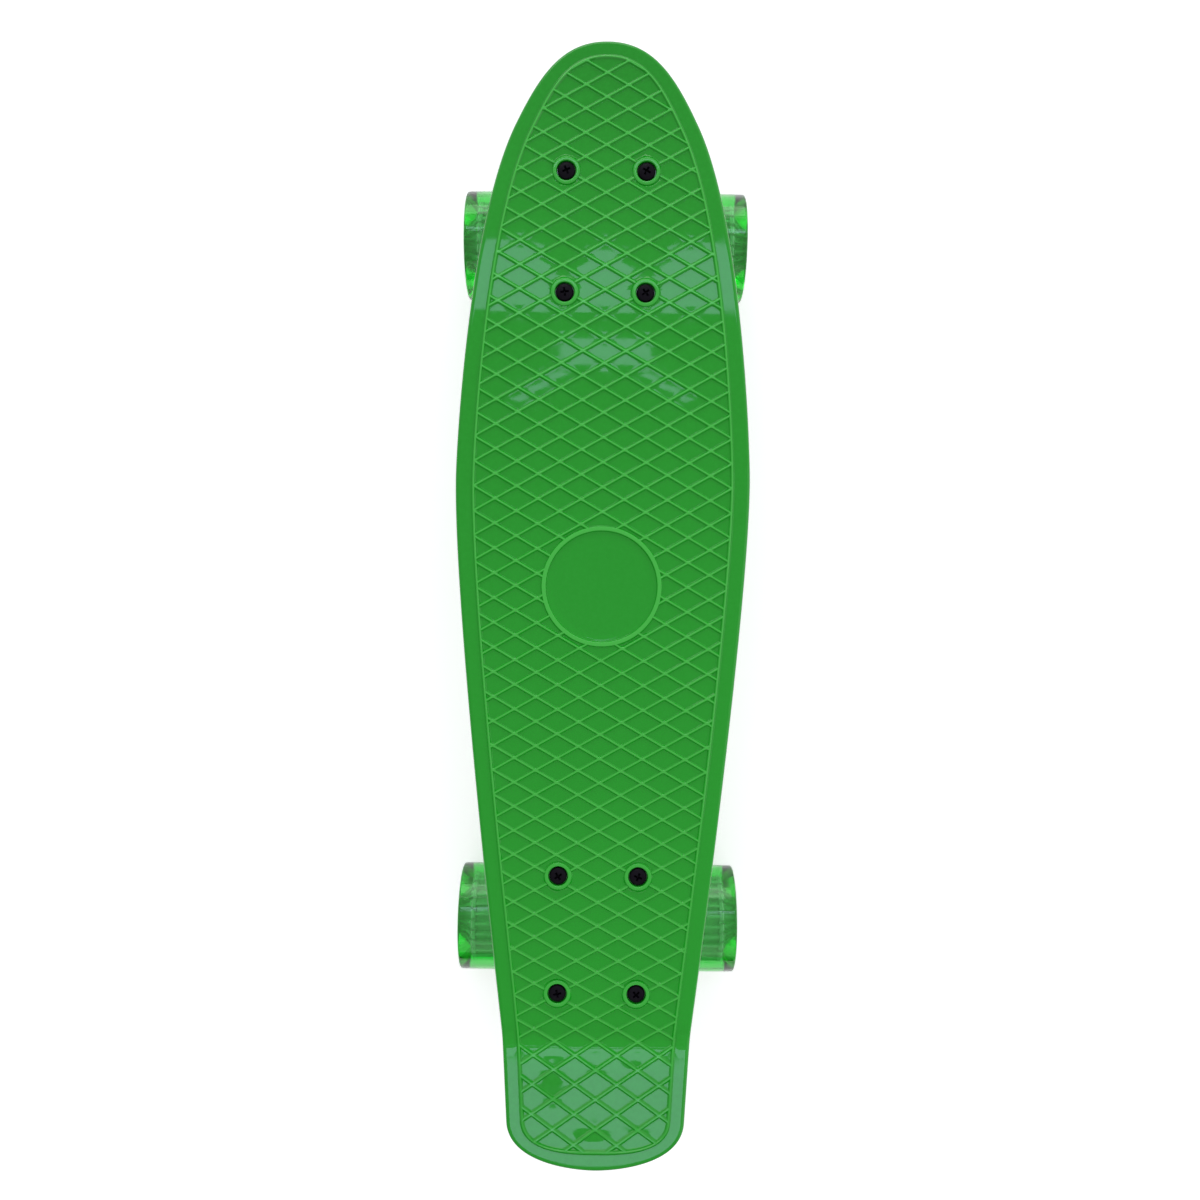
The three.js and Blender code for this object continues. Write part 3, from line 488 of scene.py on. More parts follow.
def inside(outline, x, y):
    """Whether points lie inside a closed outline."""
    found = np.zeros(np.shape(x), bool)
    previous = outline[-1]
    for point in outline:
        crosses = (point[1] > y) != (previous[1] > y)
        with np.errstate(divide="ignore", invalid="ignore"):
            at = (previous[0] - point[0]) * (y - point[1]) / (previous[1] - point[1]) + point[0]
        found ^= crosses & (x < at)
        previous = point
    return found


def waffle_slab():
    """Sheet of the waffle, out past the border rib, with its mesh lines along the ribs."""
    near_rib = [0, RIB_FLAT, 0.45, 0.76, 1.02, RIB_HALF, 2.4, 4.0]
    offsets = np.array(sorted({-d for d in near_rib} | set(near_rib))) / WAFFLE_PITCH
    reach = int(math.ceil((NOSE_Y - TAIL_Y) / 2 / WAFFLE_Y + DECK_HIGH[0] / WAFFLE_X)) + 1
    lines = np.concatenate([n + offsets for n in range(-reach, reach + 1)])
    a, b = np.meshgrid(lines, lines, indexing="ij")
    x = (a + b) / 2 * WAFFLE_X
    y = MID_Y + (a - b) / 2 * WAFFLE_Y
    keep = inside(deck_outline(2 * EDGE_ROUND), x, y)
    quads = keep[:-1, :-1] | keep[1:, :-1] | keep[:-1, 1:] | keep[1:, 1:]
    i, j = np.nonzero(quads)
    width = len(lines)
    corners = np.column_stack(
        [i * width + j, i * width + j + 1, (i + 1) * width + j + 1, (i + 1) * width + j]
    )
    used, packed = np.unique(corners, return_inverse=True)
    packed = packed.reshape(corners.shape)
    px, py = x.ravel()[used], y.ravel()[used]
    top = np.column_stack([px, py, waffle_relief(px, py)])
    under = np.column_stack([px, py, np.full(len(px), -2 * RIB_SINK)])
    count = len(used)
    edges = {}
    for corner in range(4):
        start, end = packed[:, corner], packed[:, (corner + 1) % 4]
        for s, e in zip(start.tolist(), end.tolist()):
            if (e, s) in edges:
                del edges[(e, s)]
            else:
                edges[(s, e)] = True
    faces = packed.tolist()
    faces += (packed[:, ::-1] + count).tolist()
    faces += [(s, s + count, e + count, e) for s, e in edges]
    return mesh_object("waffle", np.concatenate([top, under]), faces, "source_waffle")


def border_rib():
    """Rib that runs all round the deck inside its rim."""
    across = np.array([-1.25, -1.05, -0.82, -0.6, -0.4, 0, 0.4, 0.6, 0.82, 1.05, 1.25])
    rings = [deck_outline(d, from_rib=True) for d in across]
    heights = (RIB_HEIGHT * rib_bump(across)).tolist()
    rings = [deck_outline(-RIB_HALF, from_rib=True), *rings, deck_outline(RIB_HALF, from_rib=True)]
    heights = [-RIB_SINK, *heights, -RIB_SINK]
    return loft("border_rib", rings, heights, "source_border", closed=True)


def medallion():
    """Smooth disc in the middle, with a rib round it."""
    across = np.linspace(-1.3, 2, 23)
    bump = 1 - smooth((np.abs(across - 0.35) - 0.8) / 0.85)
    outside = [(MEDALLION_R - d, RIB_HEIGHT * h) for d, h in zip(across, bump)]
    profile = [(0, -2 * RIB_SINK), (MEDALLION_R + 1.3, -2 * RIB_SINK), *outside]
    inner = [(r, 0) for r in (24, 16, 8)]
    return turned("medallion", [*profile, *inner, (0, 0)], 160, 0, MID_Y, 0, "source_medallion")


def boss(screw):
    """Raised ring round a screw, whose recess is cut later."""
    x, y, _ = screw["at"]
    top = BOSS_HEIGHT
    profile = [
        (0, -2 * RIB_SINK), (BOSS_R + 0.75, -2 * RIB_SINK), (BOSS_R + 0.75, -0.02),
        (BOSS_R + 0.4, 0.08 * top), (BOSS_R + 0.1, 0.35 * top), (BOSS_R - 0.1, 0.7 * top),
        (BOSS_R - 0.35, 0.92 * top), (BOSS_R - 0.7, top), (RECESS_R - 1, top), (0, top),
    ]
    return turned("boss", profile, 72, x, y, 0, "source_boss")


def boss_cutter(screw):
    x, y, _ = screw["at"]
    top = BOSS_HEIGHT
    profile = [
        (0, -40), (HOLE_R, -40), (HOLE_R, -RECESS), (RECESS_R - 0.15, -RECESS),
        (RECESS_R, -RECESS + 0.15), (RECESS_R, top - 0.55), (RECESS_R + 0.08, top - 0.3),
        (RECESS_R + 0.3, top - 0.08), (RECESS_R + 0.6, top + 0.02), (RECESS_R + 0.6, 4), (0, 4),
    ]
    return turned("boss_cutter", profile, 72, x, y, 0, "source_recess")


def deck_shell():
    """The deck without its top ribs: rim, skirt, hollow underside, webs and truck pads."""
    quarter = np.radians(np.arange(0, 91, 11.25))
    edge = [(SKIRT_DRAFT + SKIRT_WALL * 0.35, -SKIRT_DEPTH)]
    edge += [
        (SKIRT_DRAFT + 1.2 * (1 - math.cos(q)), -SKIRT_DEPTH + 1.2 * (1 - math.sin(q)))
        for q in quarter[::-2]
    ]
    edge += [(0.45, -7), (0.1, -4)]
    edge += [
        (EDGE_ROUND * (1 - math.cos(q)), -EDGE_ROUND * (1 - math.sin(q))) for q in quarter
    ]
    rings = [deck_outline(inset) for inset, _ in edge]
    heights = [z for _, z in edge]
    for share in (0.05, 0.12, 0.5, 0.88):
        plain = deck_outline(EDGE_ROUND)
        rib = deck_outline(0, from_rib=True)
        rings.append(plain + share * (rib - plain))
        heights.append(0)
    rings += [deck_outline(0.4, from_rib=True)] * 2
    heights += [0, -RIB_SINK]
    shell = loft("deck", rings, heights, "source_shell")

    wall = [
        (SKIRT_WALL, -SKIRT_DEPTH - 1),
        (SKIRT_WALL, -SKIRT_DEPTH + 0.6),
        (SKIRT_WALL + 0.35, -SKIN - 1),
        (SKIRT_WALL + 0.75, -SKIN - 0.3),
        (SKIRT_WALL + 1.6, -SKIN),
    ]
    pocket_rings = [deck_outline(inset) for inset, _ in wall]
    pocket = loft("pocket", pocket_rings, [z for _, z in wall], "source_pocket")
    within = loft("within", pocket_rings, [z for _, z in wall], "source_pocket")
    boolean(shell, "DIFFERENCE", pocket)

    bottom = -SKIRT_DEPTH + 1.5
    webs = []
    half = WEB / 2
    for x in (-STRINGER_X, STRINGER_X):
        webs.append(web_box(x - half, TAIL_Y, x + half, NOSE_Y, bottom))
    step = 3 * WAFFLE_Y
    across = int((NOSE_Y - MID_Y) / step)
    for i in range(-across, across + 1):
        y = MID_Y + i * step
        webs.append(web_box(-DECK_HIGH[0], y - half, DECK_HIGH[0], y + half, bottom))
    web = boolean(webs[0], "UNION", *webs[1:])
    boolean(web, "INTERSECT", within)
    pads = [
        prism("pad", rounded_rectangle(*PAD, PAD_CORNER, 0, y), -SKIRT_DEPTH - 5, -SKIN + 1, "source_pad")
        for y in TRUCK_Y.values()
    ]
    boolean(shell, "UNION", web, *pads)
    return shell


def web_box(x0, y0, x1, y1, bottom):
    """Underside rib with a little draft on its sides."""
    draft = 0.35
    rings = [
        rectangle(x0 + draft, y0 + draft, x1 - draft, y1 - draft),
        rectangle(x0, y0, x1, y1),
        rectangle(x0, y0, x1, y1),
    ]
    return loft("web", rings, [bottom, -SKIN, -SKIN + 1], "source_web")


def slice_along(o, places):
    """Adds mesh lines across the deck, so that it can bend there."""
    bm = bmesh.new()
    bm.from_mesh(o.data)
    for y in places:
        bmesh.ops.bisect_plane(
            bm,
            geom=bm.verts[:] + bm.edges[:] + bm.faces[:],
            dist=1e-7,
            plane_co=(0, y * MM, 0),
            plane_no=(0, 1, 0),
        )
    bmesh.ops.triangulate(bm, faces=bm.faces[:])
    bm.to_mesh(o.data)
    bm.free()
    o.data.update()


def make_deck():
    deck = deck_shell()
    stations = [*np.arange(TAIL_Y + 12, NOSE_Y, 12.0)]
    stations += [KICK_Y + d for d in (-KICK_BEND, -2.5, 0, 2.5, KICK_BEND)]
    slice_along(deck, stations)

    waffle = waffle_slab()
    field = prism("field", deck_outline(0, from_rib=True), -3, 3, "source_waffle")
    disc = prism("disc", circle(MEDALLION_R, 160, 0, MID_Y), -4, 4, "source_waffle")
    wells = [
        prism("well", circle(BOSS_R, 72, *s["at"][:2]), -4, 4, "source_waffle") for s in SCREWS
    ]
    boolean(waffle, "INTERSECT", field)
    boolean(waffle, "DIFFERENCE", disc, *wells)
    boolean(deck, "UNION", waffle, border_rib(), medallion(), *[boss(s) for s in SCREWS])
    boolean(deck, "DIFFERENCE", *[boss_cutter(s) for s in SCREWS])

    mesh = deck.data
    flat = values(mesh.vertices, "co", 3) / MM
    bent = flat.copy()
    bent[:, 2] += lift(flat[:, 0], flat[:, 1])
    mesh.vertices.foreach_set("co", (bent * MM).ravel())
    mesh.update()

    # painted light: how much pale crest colour the deck's material paints on each point, from its height
    # above the plain deck; the bosses get less
    painted_crest_share = mesh.attributes.new("painted_crest_share", "FLOAT", "POINT")
    painted_crest_light = np.clip(flat[:, 2] / RIB_HEIGHT, 0, 1)
    for screw in SCREWS:
        sx, sy, _ = screw["at"]
        painted_crest_light[np.hypot(flat[:, 0] - sx, flat[:, 1] - sy) < BOSS_R + 0.2] *= 0.85
    painted_crest_share.data.foreach_set("value", painted_crest_light.astype(np.float32))
    pad_z = MOUNT_Z + FIT
    planes = [
        prism("plane", rounded_rectangle(PAD[0] + 1, PAD[1] + 1, PAD_CORNER, 0, y), 40, pad_z, "source_plane")
        for y in TRUCK_Y.values()
    ]
    boolean(deck, "DIFFERENCE", *planes)
    shade_deck(deck)
    return deck


def shade_deck(deck):
    """Smooth within each moulded form, sharp where two forms meet, and the waffle's exact normals."""
    mesh = deck.data
    names = [m.name for m in mesh.materials]
    count = len(mesh.polygons)
    source = values(mesh.polygons, "material_index", kind=np.int32)
    mesh.polygons.foreach_set("use_smooth", np.ones(count, bool))
    normals = values(mesh.polygons, "normal", 3)

    bm = bmesh.new()
    bm.from_mesh(mesh)
    for edge in bm.edges:
        faces = edge.link_faces
        if len(faces) != 2:
            continue
        a, b = faces
        parts = a.material_index != b.material_index
        edge.smooth = not (parts or a.normal.angle(b.normal, 0) > math.radians(34))
    bm.to_mesh(mesh)
    bm.free()

    waffle = names.index("source_waffle")
    chosen = (source == waffle) & (normals[:, 2] > 0.3)
    loops = values(mesh.loops, "vertex_index", kind=np.int32)
    totals = values(mesh.polygons, "loop_total", kind=np.int32)
    on_waffle = np.repeat(chosen, totals)
    corner_normals = values(mesh.corner_normals, "vector", 3, np.float32)
    points = values(mesh.vertices, "co", 3)[loops[on_waffle]] / MM
    x, y = points[:, 0], points[:, 1]
    step = 0.01
    dx = (top_height(x + step, y) - top_height(x - step, y)) / (2 * step)
    dy = (top_height(x, y + step) - top_height(x, y - step)) / (2 * step)
    exact = np.column_stack([-dx, -dy, np.ones(len(x))])
    corner_normals[on_waffle] = exact / np.linalg.norm(exact, axis=1)[:, None]
    mesh.normals_split_custom_set(corner_normals.tolist())
    mesh.materials.clear()
    mesh.polygons.foreach_set("material_index", np.zeros(count, np.int32))
    mesh.update()


# ---------------------------------------------------------------- truck and wheel sizes

# a truck is built for the nose end, outward along +Y, with its mounting face at z = 0
FIT = 0.3
RING = Vector((0, -10.5, -29.5))
PIVOT = Vector((0, 29.5, -11))
AXLE = Vector((0, 7.5, -49.5))
LEAN = math.radians(22)
KINGPIN_WAY = Vector((0, -math.sin(LEAN), -math.cos(LEAN)))
STEER_WAY = (PIVOT - RING).normalized()
ON_KINGPIN = along(RING, KINGPIN_WAY)
ON_PIVOT = along(PIVOT, STEER_WAY)
ON_AXLE = along(AXLE, (1, 0, 0))

KINGPIN_R = 4.75
KINGPIN_HEAD = (8, -27.51, -22.51)  # radius, and from and to along the kingpin
SEAT_BOARD = -14.6
RING_HALF = 4
BUSHING = 10
BUSHING_R = 11.5
CONE_R = 9.4
WASHER_FROM = 14.6
WASHER_R = 10.8
NUT_FROM = 16.4
KINGPIN_NUT = (14.3, 8)
KINGPIN_END = 26.4
PLATE = (54, 82, 6)
SCREW_PATTERN = (41.3, 63.5)
PIVOT_BALL = 4.5
CUP_R = 7
CUP_HALF = 6
HANGER_HALF = 39.5
AXLE_R = 4
AXLE_HALF = 76
WHEEL_X = 54
WHEEL_R = 29.5
WHEEL_HALF = 22.5
CORE_HALF = 15.7
CORE_RIBS = 20
BEARING_FROM = 5
BEARING_WIDTH = 7
SLEEVE_FROM = HANGER_HALF + FIT - WHEEL_X
SLEEVE_TO = 13.5
AXLE_NUT = (13, 7)
ROD_PITCH = 1.06  # thread of the kingpin and the axle
ROD_THREAD = 0.5
SCREW_R = 2.4
SCREW_PITCH = 0.8
SCREW_THREAD = 0.35
SCREW_HEAD_R = 4.5
SCREW_HEAD = 2.6

TRUCK = {
    end: Matrix.Translation((0, TRUCK_Y[end], MOUNT_Z)) @ Matrix.Rotation(turn, 4, "Z")
    for end, turn in (("front", 0), ("rear", math.pi))
}
OUTWARD = {("front", "left"): -1, ("front", "right"): 1, ("rear", "left"): 1, ("rear", "right"): -1}
WHEEL = {
    (end, side): TRUCK[end]
    @ Matrix.Translation((sign * WHEEL_X, AXLE.y, AXLE.z))
    @ Matrix.Rotation(0 if sign > 0 else math.pi, 4, "Z")
    @ along((0, 0, 0), (1, 0, 0))
    for (end, side), sign in OUTWARD.items()
}

# ---------------------------------------------------------------- truck shapes


def on_edge(name, outline, half, draft=0):
    """Plate in the truck's middle plane: outline in (outward, up), and half its thickness."""
    outline = np.asarray(outline, float)
    middle = outline.mean(axis=0)
    small = middle + (outline - middle) * (1 - draft)
    form = loft(name, [small, outline, small], [-half, 0, half])
    return placed(form, Matrix(((0, 0, 1, 0), (1, 0, 0, 0), (0, 1, 0, 0), (0, 0, 0, 1))))


def turned_on(axis, name, profile, count, pitch=1):
    """Solid of revolution about one of the truck's own axes."""
    return placed(turned(name, profile, count, pitch=pitch), axis)


def rod(axis, name, radius, start, end, count=48):
    """Plain cylinder along one of the truck's own axes."""
    return turned_on(axis, name, [(0, start), (radius, start), (radius, end), (0, end)], count)


def facing(x, y, z):
    """Matrix that takes the three axes to three directions."""
    return Matrix((x, y, z)).transposed().to_4x4()


def baseplate():
    """Cast plate with the kingpin's seat, the boss of the pivot, a rib between them and two gussets."""
    width, length, thick = PLATE
    levels = ((3, 7.5, -thick), (1, 8.5, -thick + 1.4), (0, 9, -1), (0, 9, 1.5))
    outlines = [rounded_rectangle(width - less, length - less, corner) for less, corner, _ in levels]
    plate = loft("plate", outlines, [height for _, _, height in levels])
    head_r, head_top, head_seat = KINGPIN_HEAD
    cone = [(0, head_top - 6), (17, head_top - 6), (15, -20), (12.5, SEAT_BOARD), (0, SEAT_BOARD)]
    seat = turned_on(ON_KINGPIN, "seat", cone, 48)
    boss = turned_on(ON_PIVOT, "boss", [(0, -7), (9.3, -7), (10.4, 9), (0, 9)], 48)
    room = rod(ON_PIVOT, "room", 24, -30, -7)
    rib = on_edge("rib", [(-3, -11), (29, -11), (29, -5), (-3, -5)], 4)
    boolean(rib, "DIFFERENCE", room)
    slope = [(-16, -10), (26, -10), (34, -5), (-24, -5)]
    gussets = [
        placed(on_edge("gusset", slope, 1.6), Matrix.Translation((x, 0, 0))) for x in (-12, 12)
    ]
    above = prism("above", rectangle(-60, -60, 60, 60), 0, 60)
    pocket = rod(ON_KINGPIN, "pocket", head_r + FIT, -60, head_seat)
    shank = rod(ON_KINGPIN, "shank", KINGPIN_R + FIT, -40, 0, 40)
    cup = rod(ON_PIVOT, "cup", CUP_R + FIT, -30, CUP_HALF + FIT)
    holes = [
        prism("hole", circle(HOLE_R, 32, x, y), -40, 2)
        for x in (-SCREW_PATTERN[0] / 2, SCREW_PATTERN[0] / 2)
        for y in (-SCREW_PATTERN[1] / 2, SCREW_PATTERN[1] / 2)
    ]
    forms = [plate, seat, boss, rib, *gussets]
    return shade(cast("baseplate", forms, [above, pocket, shank, cup, *holes]))


def hanger():
    """Casting that carries the axle: arms, ring for the bushings, web, wings and the pivot's ball."""
    arm = [(9.2, 0), (9, 19.5), (8.6, 24), (7.7, 30), (7.5, 33), (7.5, 38.9)]
    arm += [(6.9, HANGER_HALF), (0, HANGER_HALF)]
    tube = turned_on(ON_AXLE, "tube", mirrored(arm), 64)
    section = rounded([(0, -4.6), (13.2, -4.6), (13.2, 4.6), (0, 4.6)], 1.6)
    ring = turned_on(ON_KINGPIN, "ring", section, 64)
    ball = [(0, -19), (8.2, -19), (7, -14), (5.6, -9.5), (4.6, -6), (4.6, 0), (4, 2.3), (2.3, 4), (0, 4.6)]
    stem = turned_on(ON_PIVOT, "stem", ball, 40)
    side = Vector((1, 0, 0))
    across = Vector((0, math.cos(LEAN), -math.sin(LEAN)))
    web_outline = [
        (11, 4), (17.5, 12), (19.5, 19.5), (25, 25), (30, 21), (32, 6),
        (31, -10), (24, -13), (17, -13.5), (13, -8), (11, -4),
    ]
    web = on_edge("web", web_outline[::-1], 8.4, 0.12)
    placed(web, Matrix.Translation(RING) @ facing(side, across, -KINGPIN_WAY))
    to_ring = (RING - AXLE).normalized()
    wing_outline = [(-36, -3), (36, -3), (36, 4), (24, 12.5), (13, 20), (-13, 20), (-24, 12.5), (-36, 4)]
    wings = prism("wings", np.array(wing_outline, float), -4, 4)
    placed(wings, Matrix.Translation(AXLE) @ facing(side, to_ring, side.cross(to_ring)))
    hole = rounded([(0, -9), (8.5, -9), (8.5, 9), (0, 9)], 0.1)
    bore = turned_on(ON_KINGPIN, "bore", hole, 48)
    road = rod(ON_KINGPIN, "road", 13.1, RING_HALF, 40, 64)
    board = rod(ON_KINGPIN, "board", 13.4, -40, -RING_HALF, 64)
    axle = rod(ON_AXLE, "axle", AXLE_R + FIT, -60, 60, 40)
    ends = [rod(ON_AXLE, "end", 20, h, h + 20, 32) for h in (HANGER_HALF, -HANGER_HALF - 20)]
    return shade(cast("hanger", [tube, ring, web, wings, stem], [bore, road, board, axle, *ends]))


def kingpin():
    r, top, seat = KINGPIN_HEAD
    profile = rounded([(0, top), (r, top), (r, seat), (KINGPIN_R, seat)], 0.5)
    profile += [(KINGPIN_R, seat + 0.4), (KINGPIN_R, 10.9)]
    profile += thread(KINGPIN_R, ROD_THREAD, ROD_PITCH, 11, KINGPIN_END - 0.7)
    profile += [(KINGPIN_R - 0.5, KINGPIN_END - 0.6), (KINGPIN_R - 1, KINGPIN_END), (0, KINGPIN_END)]
    return shade(turned_on(ON_KINGPIN, "kingpin", profile, 48, ROD_PITCH), 40)


def lock_nut(flats, height, bore, start):
    """Steel body and nylon insert of a lock nut, along +Z from start."""
    top = start + height
    rim = flats / 2
    body = prism("nut", hexagon(flats), start, top)
    envelope = [
        (0, start), (rim * 0.96, start), (rim * 1.2, start + flats * 0.06),
        (rim * 1.2, top - height * 0.36), (rim * 0.97, top - height * 0.27),
        (rim * 0.94, top - height * 0.24), (rim * 0.93, top - height * 0.05),
        (rim * 0.88, top), (0, top),
    ]
    boolean(body, "INTERSECT", turned("envelope", envelope, 64))
    chamfer = flats * 0.05
    seat = top - height * 0.22
    drill = [
        (0, start - 1), (bore + chamfer, start - 1), (bore + chamfer, start), (bore, start + chamfer),
        (bore, seat), (rim * 0.8, seat), (rim * 0.8, top + 1), (0, top + 1),
    ]
    boolean(body, "DIFFERENCE", turned("drill", drill, 40))
    low, high = top - height * 0.21, top - height * 0.04
    middle = (low + high) / 2
    section = [
        (bore, middle), (bore, low), (rim * 0.79, low),
        (rim * 0.79, high), (bore, high), (bore, middle + 0.01),
    ]
    return shade(body, 25), shade(turned("insert", rounded(section, 0.2, 2), 40))


def bushing(start, end, r0, r1):
    """Urethane ring on the kingpin that bulges a little between its rounded edges."""
    bore = KINGPIN_R + FIT
    bulge = 0.35
    rows = []
    for t in np.linspace(0, 1, 13):
        r = r0 + (r1 - r0) * t + bulge * math.sin(math.pi * t)
        rows.append((r, start + (end - start) * t))
    first = [(bore + 0.4, start), (rows[0][0] - 0.8, start), (rows[0][0] - 0.25, start + 0.2)]
    last = [(rows[-1][0] - 0.25, end - 0.2), (rows[-1][0] - 0.8, end), (bore + 0.4, end)]
    profile = [(bore, start + 0.4), *first, *rows[1:-1], *last, (bore, end - 0.4)]
    return shade(turned_on(ON_KINGPIN, "bushing", profile, 64), 50)


def cup_washer():
    bore = KINGPIN_R + FIT
    low, high = WASHER_FROM, WASHER_FROM + 1.5
    section = [
        (bore, low + 0.6), (bore, low + 0.2), (WASHER_R - 1.6, low + 0.2), (WASHER_R - 0.4, low - 0.15),
        (WASHER_R, low + 0.5), (WASHER_R - 0.9, high), (bore, high), (bore, low + 0.7),
    ]
    return shade(turned_on(ON_KINGPIN, "washer", rounded(section, 0.25, 3), 64), 45)


def pivot_cup():
    bore = PIVOT_BALL + FIT
    dome = [(bore * math.cos(q), bore * math.sin(q)) for q in np.radians(np.arange(82, -1, -9))]
    profile = [(0, bore), *dome, (bore + 0.4, -CUP_HALF + 0.4), (bore + 0.8, -CUP_HALF)]
    profile += [(CUP_R - 0.4, -CUP_HALF), (CUP_R, -CUP_HALF + 0.4)]
    profile += [(CUP_R, CUP_HALF - 0.4), (CUP_R - 0.4, CUP_HALF), (0, CUP_HALF)]
    return shade(turned_on(ON_PIVOT, "pivot_cup", profile, 48))


def axle():
    start = WHEEL_X + SLEEVE_TO + 0.4
    right = [
        (AXLE_R, HANGER_HALF), (AXLE_R, start - 0.1),
        *thread(AXLE_R, ROD_THREAD, ROD_PITCH, start, AXLE_HALF - 0.5),
        (AXLE_R - 0.4, AXLE_HALF - 0.5), (AXLE_R - 0.9, AXLE_HALF), (0, AXLE_HALF),
    ]
    left = [(r, -h, *d) for r, h, *d in reversed(right)]
    return shade(turned_on(ON_AXLE, "axle", left + right, 48, ROD_PITCH), 40)


# ---------------------------------------------------------------- wheel shapes


def tyre():
    """Urethane wheel with a faint barrel, round lips and dished faces. It is cast round its core."""
    face = [(WHEEL_R, 0), (WHEEL_R, 8), (29.46, 13), (29.4, 17)]
    lip = rounded([(29.4, 17.2), (29.3, WHEEL_HALF), (26.4, WHEEL_HALF), (16.2, 15.9)], 2.7, 9)
    bore = [(15.4, 15.5), (13.4, 15.3), (13.0, 14.8), (13.0, 0)]
    o = turned("tyre", mirrored([*face, *lip, *bore]), 144)
    fan = o.data.attributes.new("fan", "FLOAT_VECTOR", "POINT")
    for vertex, place in zip(o.data.vertices, fan.data):
        r = math.hypot(vertex.co.x, vertex.co.y)
        place.vector = (vertex.co.x / r, vertex.co.y / r, r * 12)
    return shade(o, 60)


def core():
    """Nylon hub with notched end flanges, and lengthwise ribs that key it into the urethane."""
    hub = turned(
        "core",
        mirrored(
            [(13.3, 0), (13.3, 12.9), (13.7, 13.3), (15.6, 13.5), (16, 13.9), (16, 15.4), (15.7, CORE_HALF)]
            + [(12.6, CORE_HALF), (12.3, 15.4), (11.3, 12.2), (11.3, 4.7), (9.4, 4.7), (9.4, 0.01)]
        ),
        72,
    )
    ribs = []
    slots = []
    for i in range(CORE_RIBS):
        turn = Matrix.Rotation((i + 0.5) * 2 * math.pi / CORE_RIBS, 4, "Z")
        rib = prism("rib", rounded_rectangle(3.0, 1.5, 0.4, 14.2, 0, 3), -13.6, 13.6)
        ribs.append(placed(rib, Matrix.Rotation(i * 2 * math.pi / CORE_RIBS, 4, "Z")))
        slot = prism("slot", rounded_rectangle(3.0, 1.5, 0.6, 16.1, 0, 3), -17, 17)
        slots.append(placed(slot, turn))
    boolean(hub, "UNION", *ribs)
    return shade(boolean(hub, "DIFFERENCE", *slots), 35)


def bearing():
    """Outer ring and pressed shields of a 22 mm bearing, about its own middle."""
    half = BEARING_WIDTH / 2
    side = [(11, 0), (11, half - 0.35), (10.9, half - 0.1), (10.65, half), (9.75, half), (9.65, half - 0.25)]
    side += [(9.5, half - 0.3), (9.3, half - 0.12), (9.0, half - 0.28), (7.0, half - 0.3)]
    side += [(6.85, half - 0.15), (6.45, half - 0.2), (6.35, half - 0.4), (6.35, 0.01)]
    return shade(turned("bearing", mirrored(side), 72), 30)


def sleeve():
    """Inner rings of both bearings, the spacer between them, and a speed washer at each end."""
    bore = AXLE_R + FIT
    race = (BEARING_FROM, BEARING_FROM + BEARING_WIDTH)
    profile = [(bore, SLEEVE_FROM), (5.7, SLEEVE_FROM), (5.9, SLEEVE_FROM + 0.2)]
    profile += [(5.9, -race[1] - 0.3), (5.5, -race[1] - 0.15)]
    for a, b in ((-race[1], -race[0]), race):
        profile += [(5.6, a + 0.02), (6, a + 0.35), (6, b - 0.35), (5.6, b - 0.02)]
        if b < 0:
            profile += [(5.35, b + 0.05), (5.35, -b - 0.05)]
    profile += [(5.5, race[1] + 0.15), (5.9, race[1] + 0.3)]
    profile += [(5.9, SLEEVE_TO - 0.2), (5.7, SLEEVE_TO), (bore, SLEEVE_TO)]
    return shade(turned("sleeve", profile, 48), 40)


# ---------------------------------------------------------------- screws


def screw(place):
    """Cross-recess screw: domed head, plain shank and a threaded tip."""
    low, high = extent(f"deck_screw_{place['name']}")
    x, y, _ = place["at"]
    tip, head = low[2], high[2] - SCREW_HEAD
    r = SCREW_HEAD_R
    profile = [(0, tip), (1.9, tip), *thread(SCREW_R, SCREW_THREAD, SCREW_PITCH, tip + 0.3, tip + 9)]
    profile += [(2.38, tip + 9.2), (SCREW_R, head - 0.2), (2.5, head)]
    profile += [(r - 0.35, head), (r - 0.05, head + 0.25), (r, head + 0.6), (r - 0.03, head + 1)]
    climb = np.radians((14, 26, 38, 50, 62, 74, 84))
    dome = [(r * math.cos(q) * 0.985, head + 1 + 1.6 * math.sin(q)) for q in climb]
    body = turned("screw", [*profile, *dome, (0, high[2])], 48, x, y, pitch=SCREW_PITCH)
    half, wide = 2.5, 0.62
    plus = [
        (half, -wide), (half, wide), (wide, wide), (wide, half), (-wide, half), (-wide, wide),
        (-half, wide), (-half, -wide), (-wide, -wide), (-wide, -half), (wide, -half), (wide, -wide),
    ]
    plus = np.array(plus, float)
    turn = math.radians(SCREW_TURNS[place["name"]])
    spin = np.array(((math.cos(turn), -math.sin(turn)), (math.sin(turn), math.cos(turn))))
    rings = [(plus * share) @ spin.T + (x, y) for share in (0.34, 0.72, 1.02)]
    cross = loft("cross", rings, [high[2] - 2.3, high[2] - 1.1, high[2] + 0.4])
    return shade(boolean(body, "DIFFERENCE", cross), 28)


# turn of each screw's cross, in degrees
SCREW_TURNS = {
    "front_outer_left": 24,
    "front_outer_right": 61,
    "front_inner_left": 8,
    "front_inner_right": 38,
    "rear_outer_left": 12,
    "rear_outer_right": 43,
    "rear_inner_left": 33,
    "rear_inner_right": 70,
}


# ---------------------------------------------------------------- materials


def math_value(tree, operation, a, b):
    """Result of an operation on two values, each a number or a socket."""
    node = tree.nodes.new("ShaderNodeMath")
    node.operation = operation
    for socket, value in zip(node.inputs, (a, b)):
        if isinstance(value, (int, float)):
            socket.default_value = value
        else:
            tree.links.new(value, socket)
    return node.outputs["Value"]


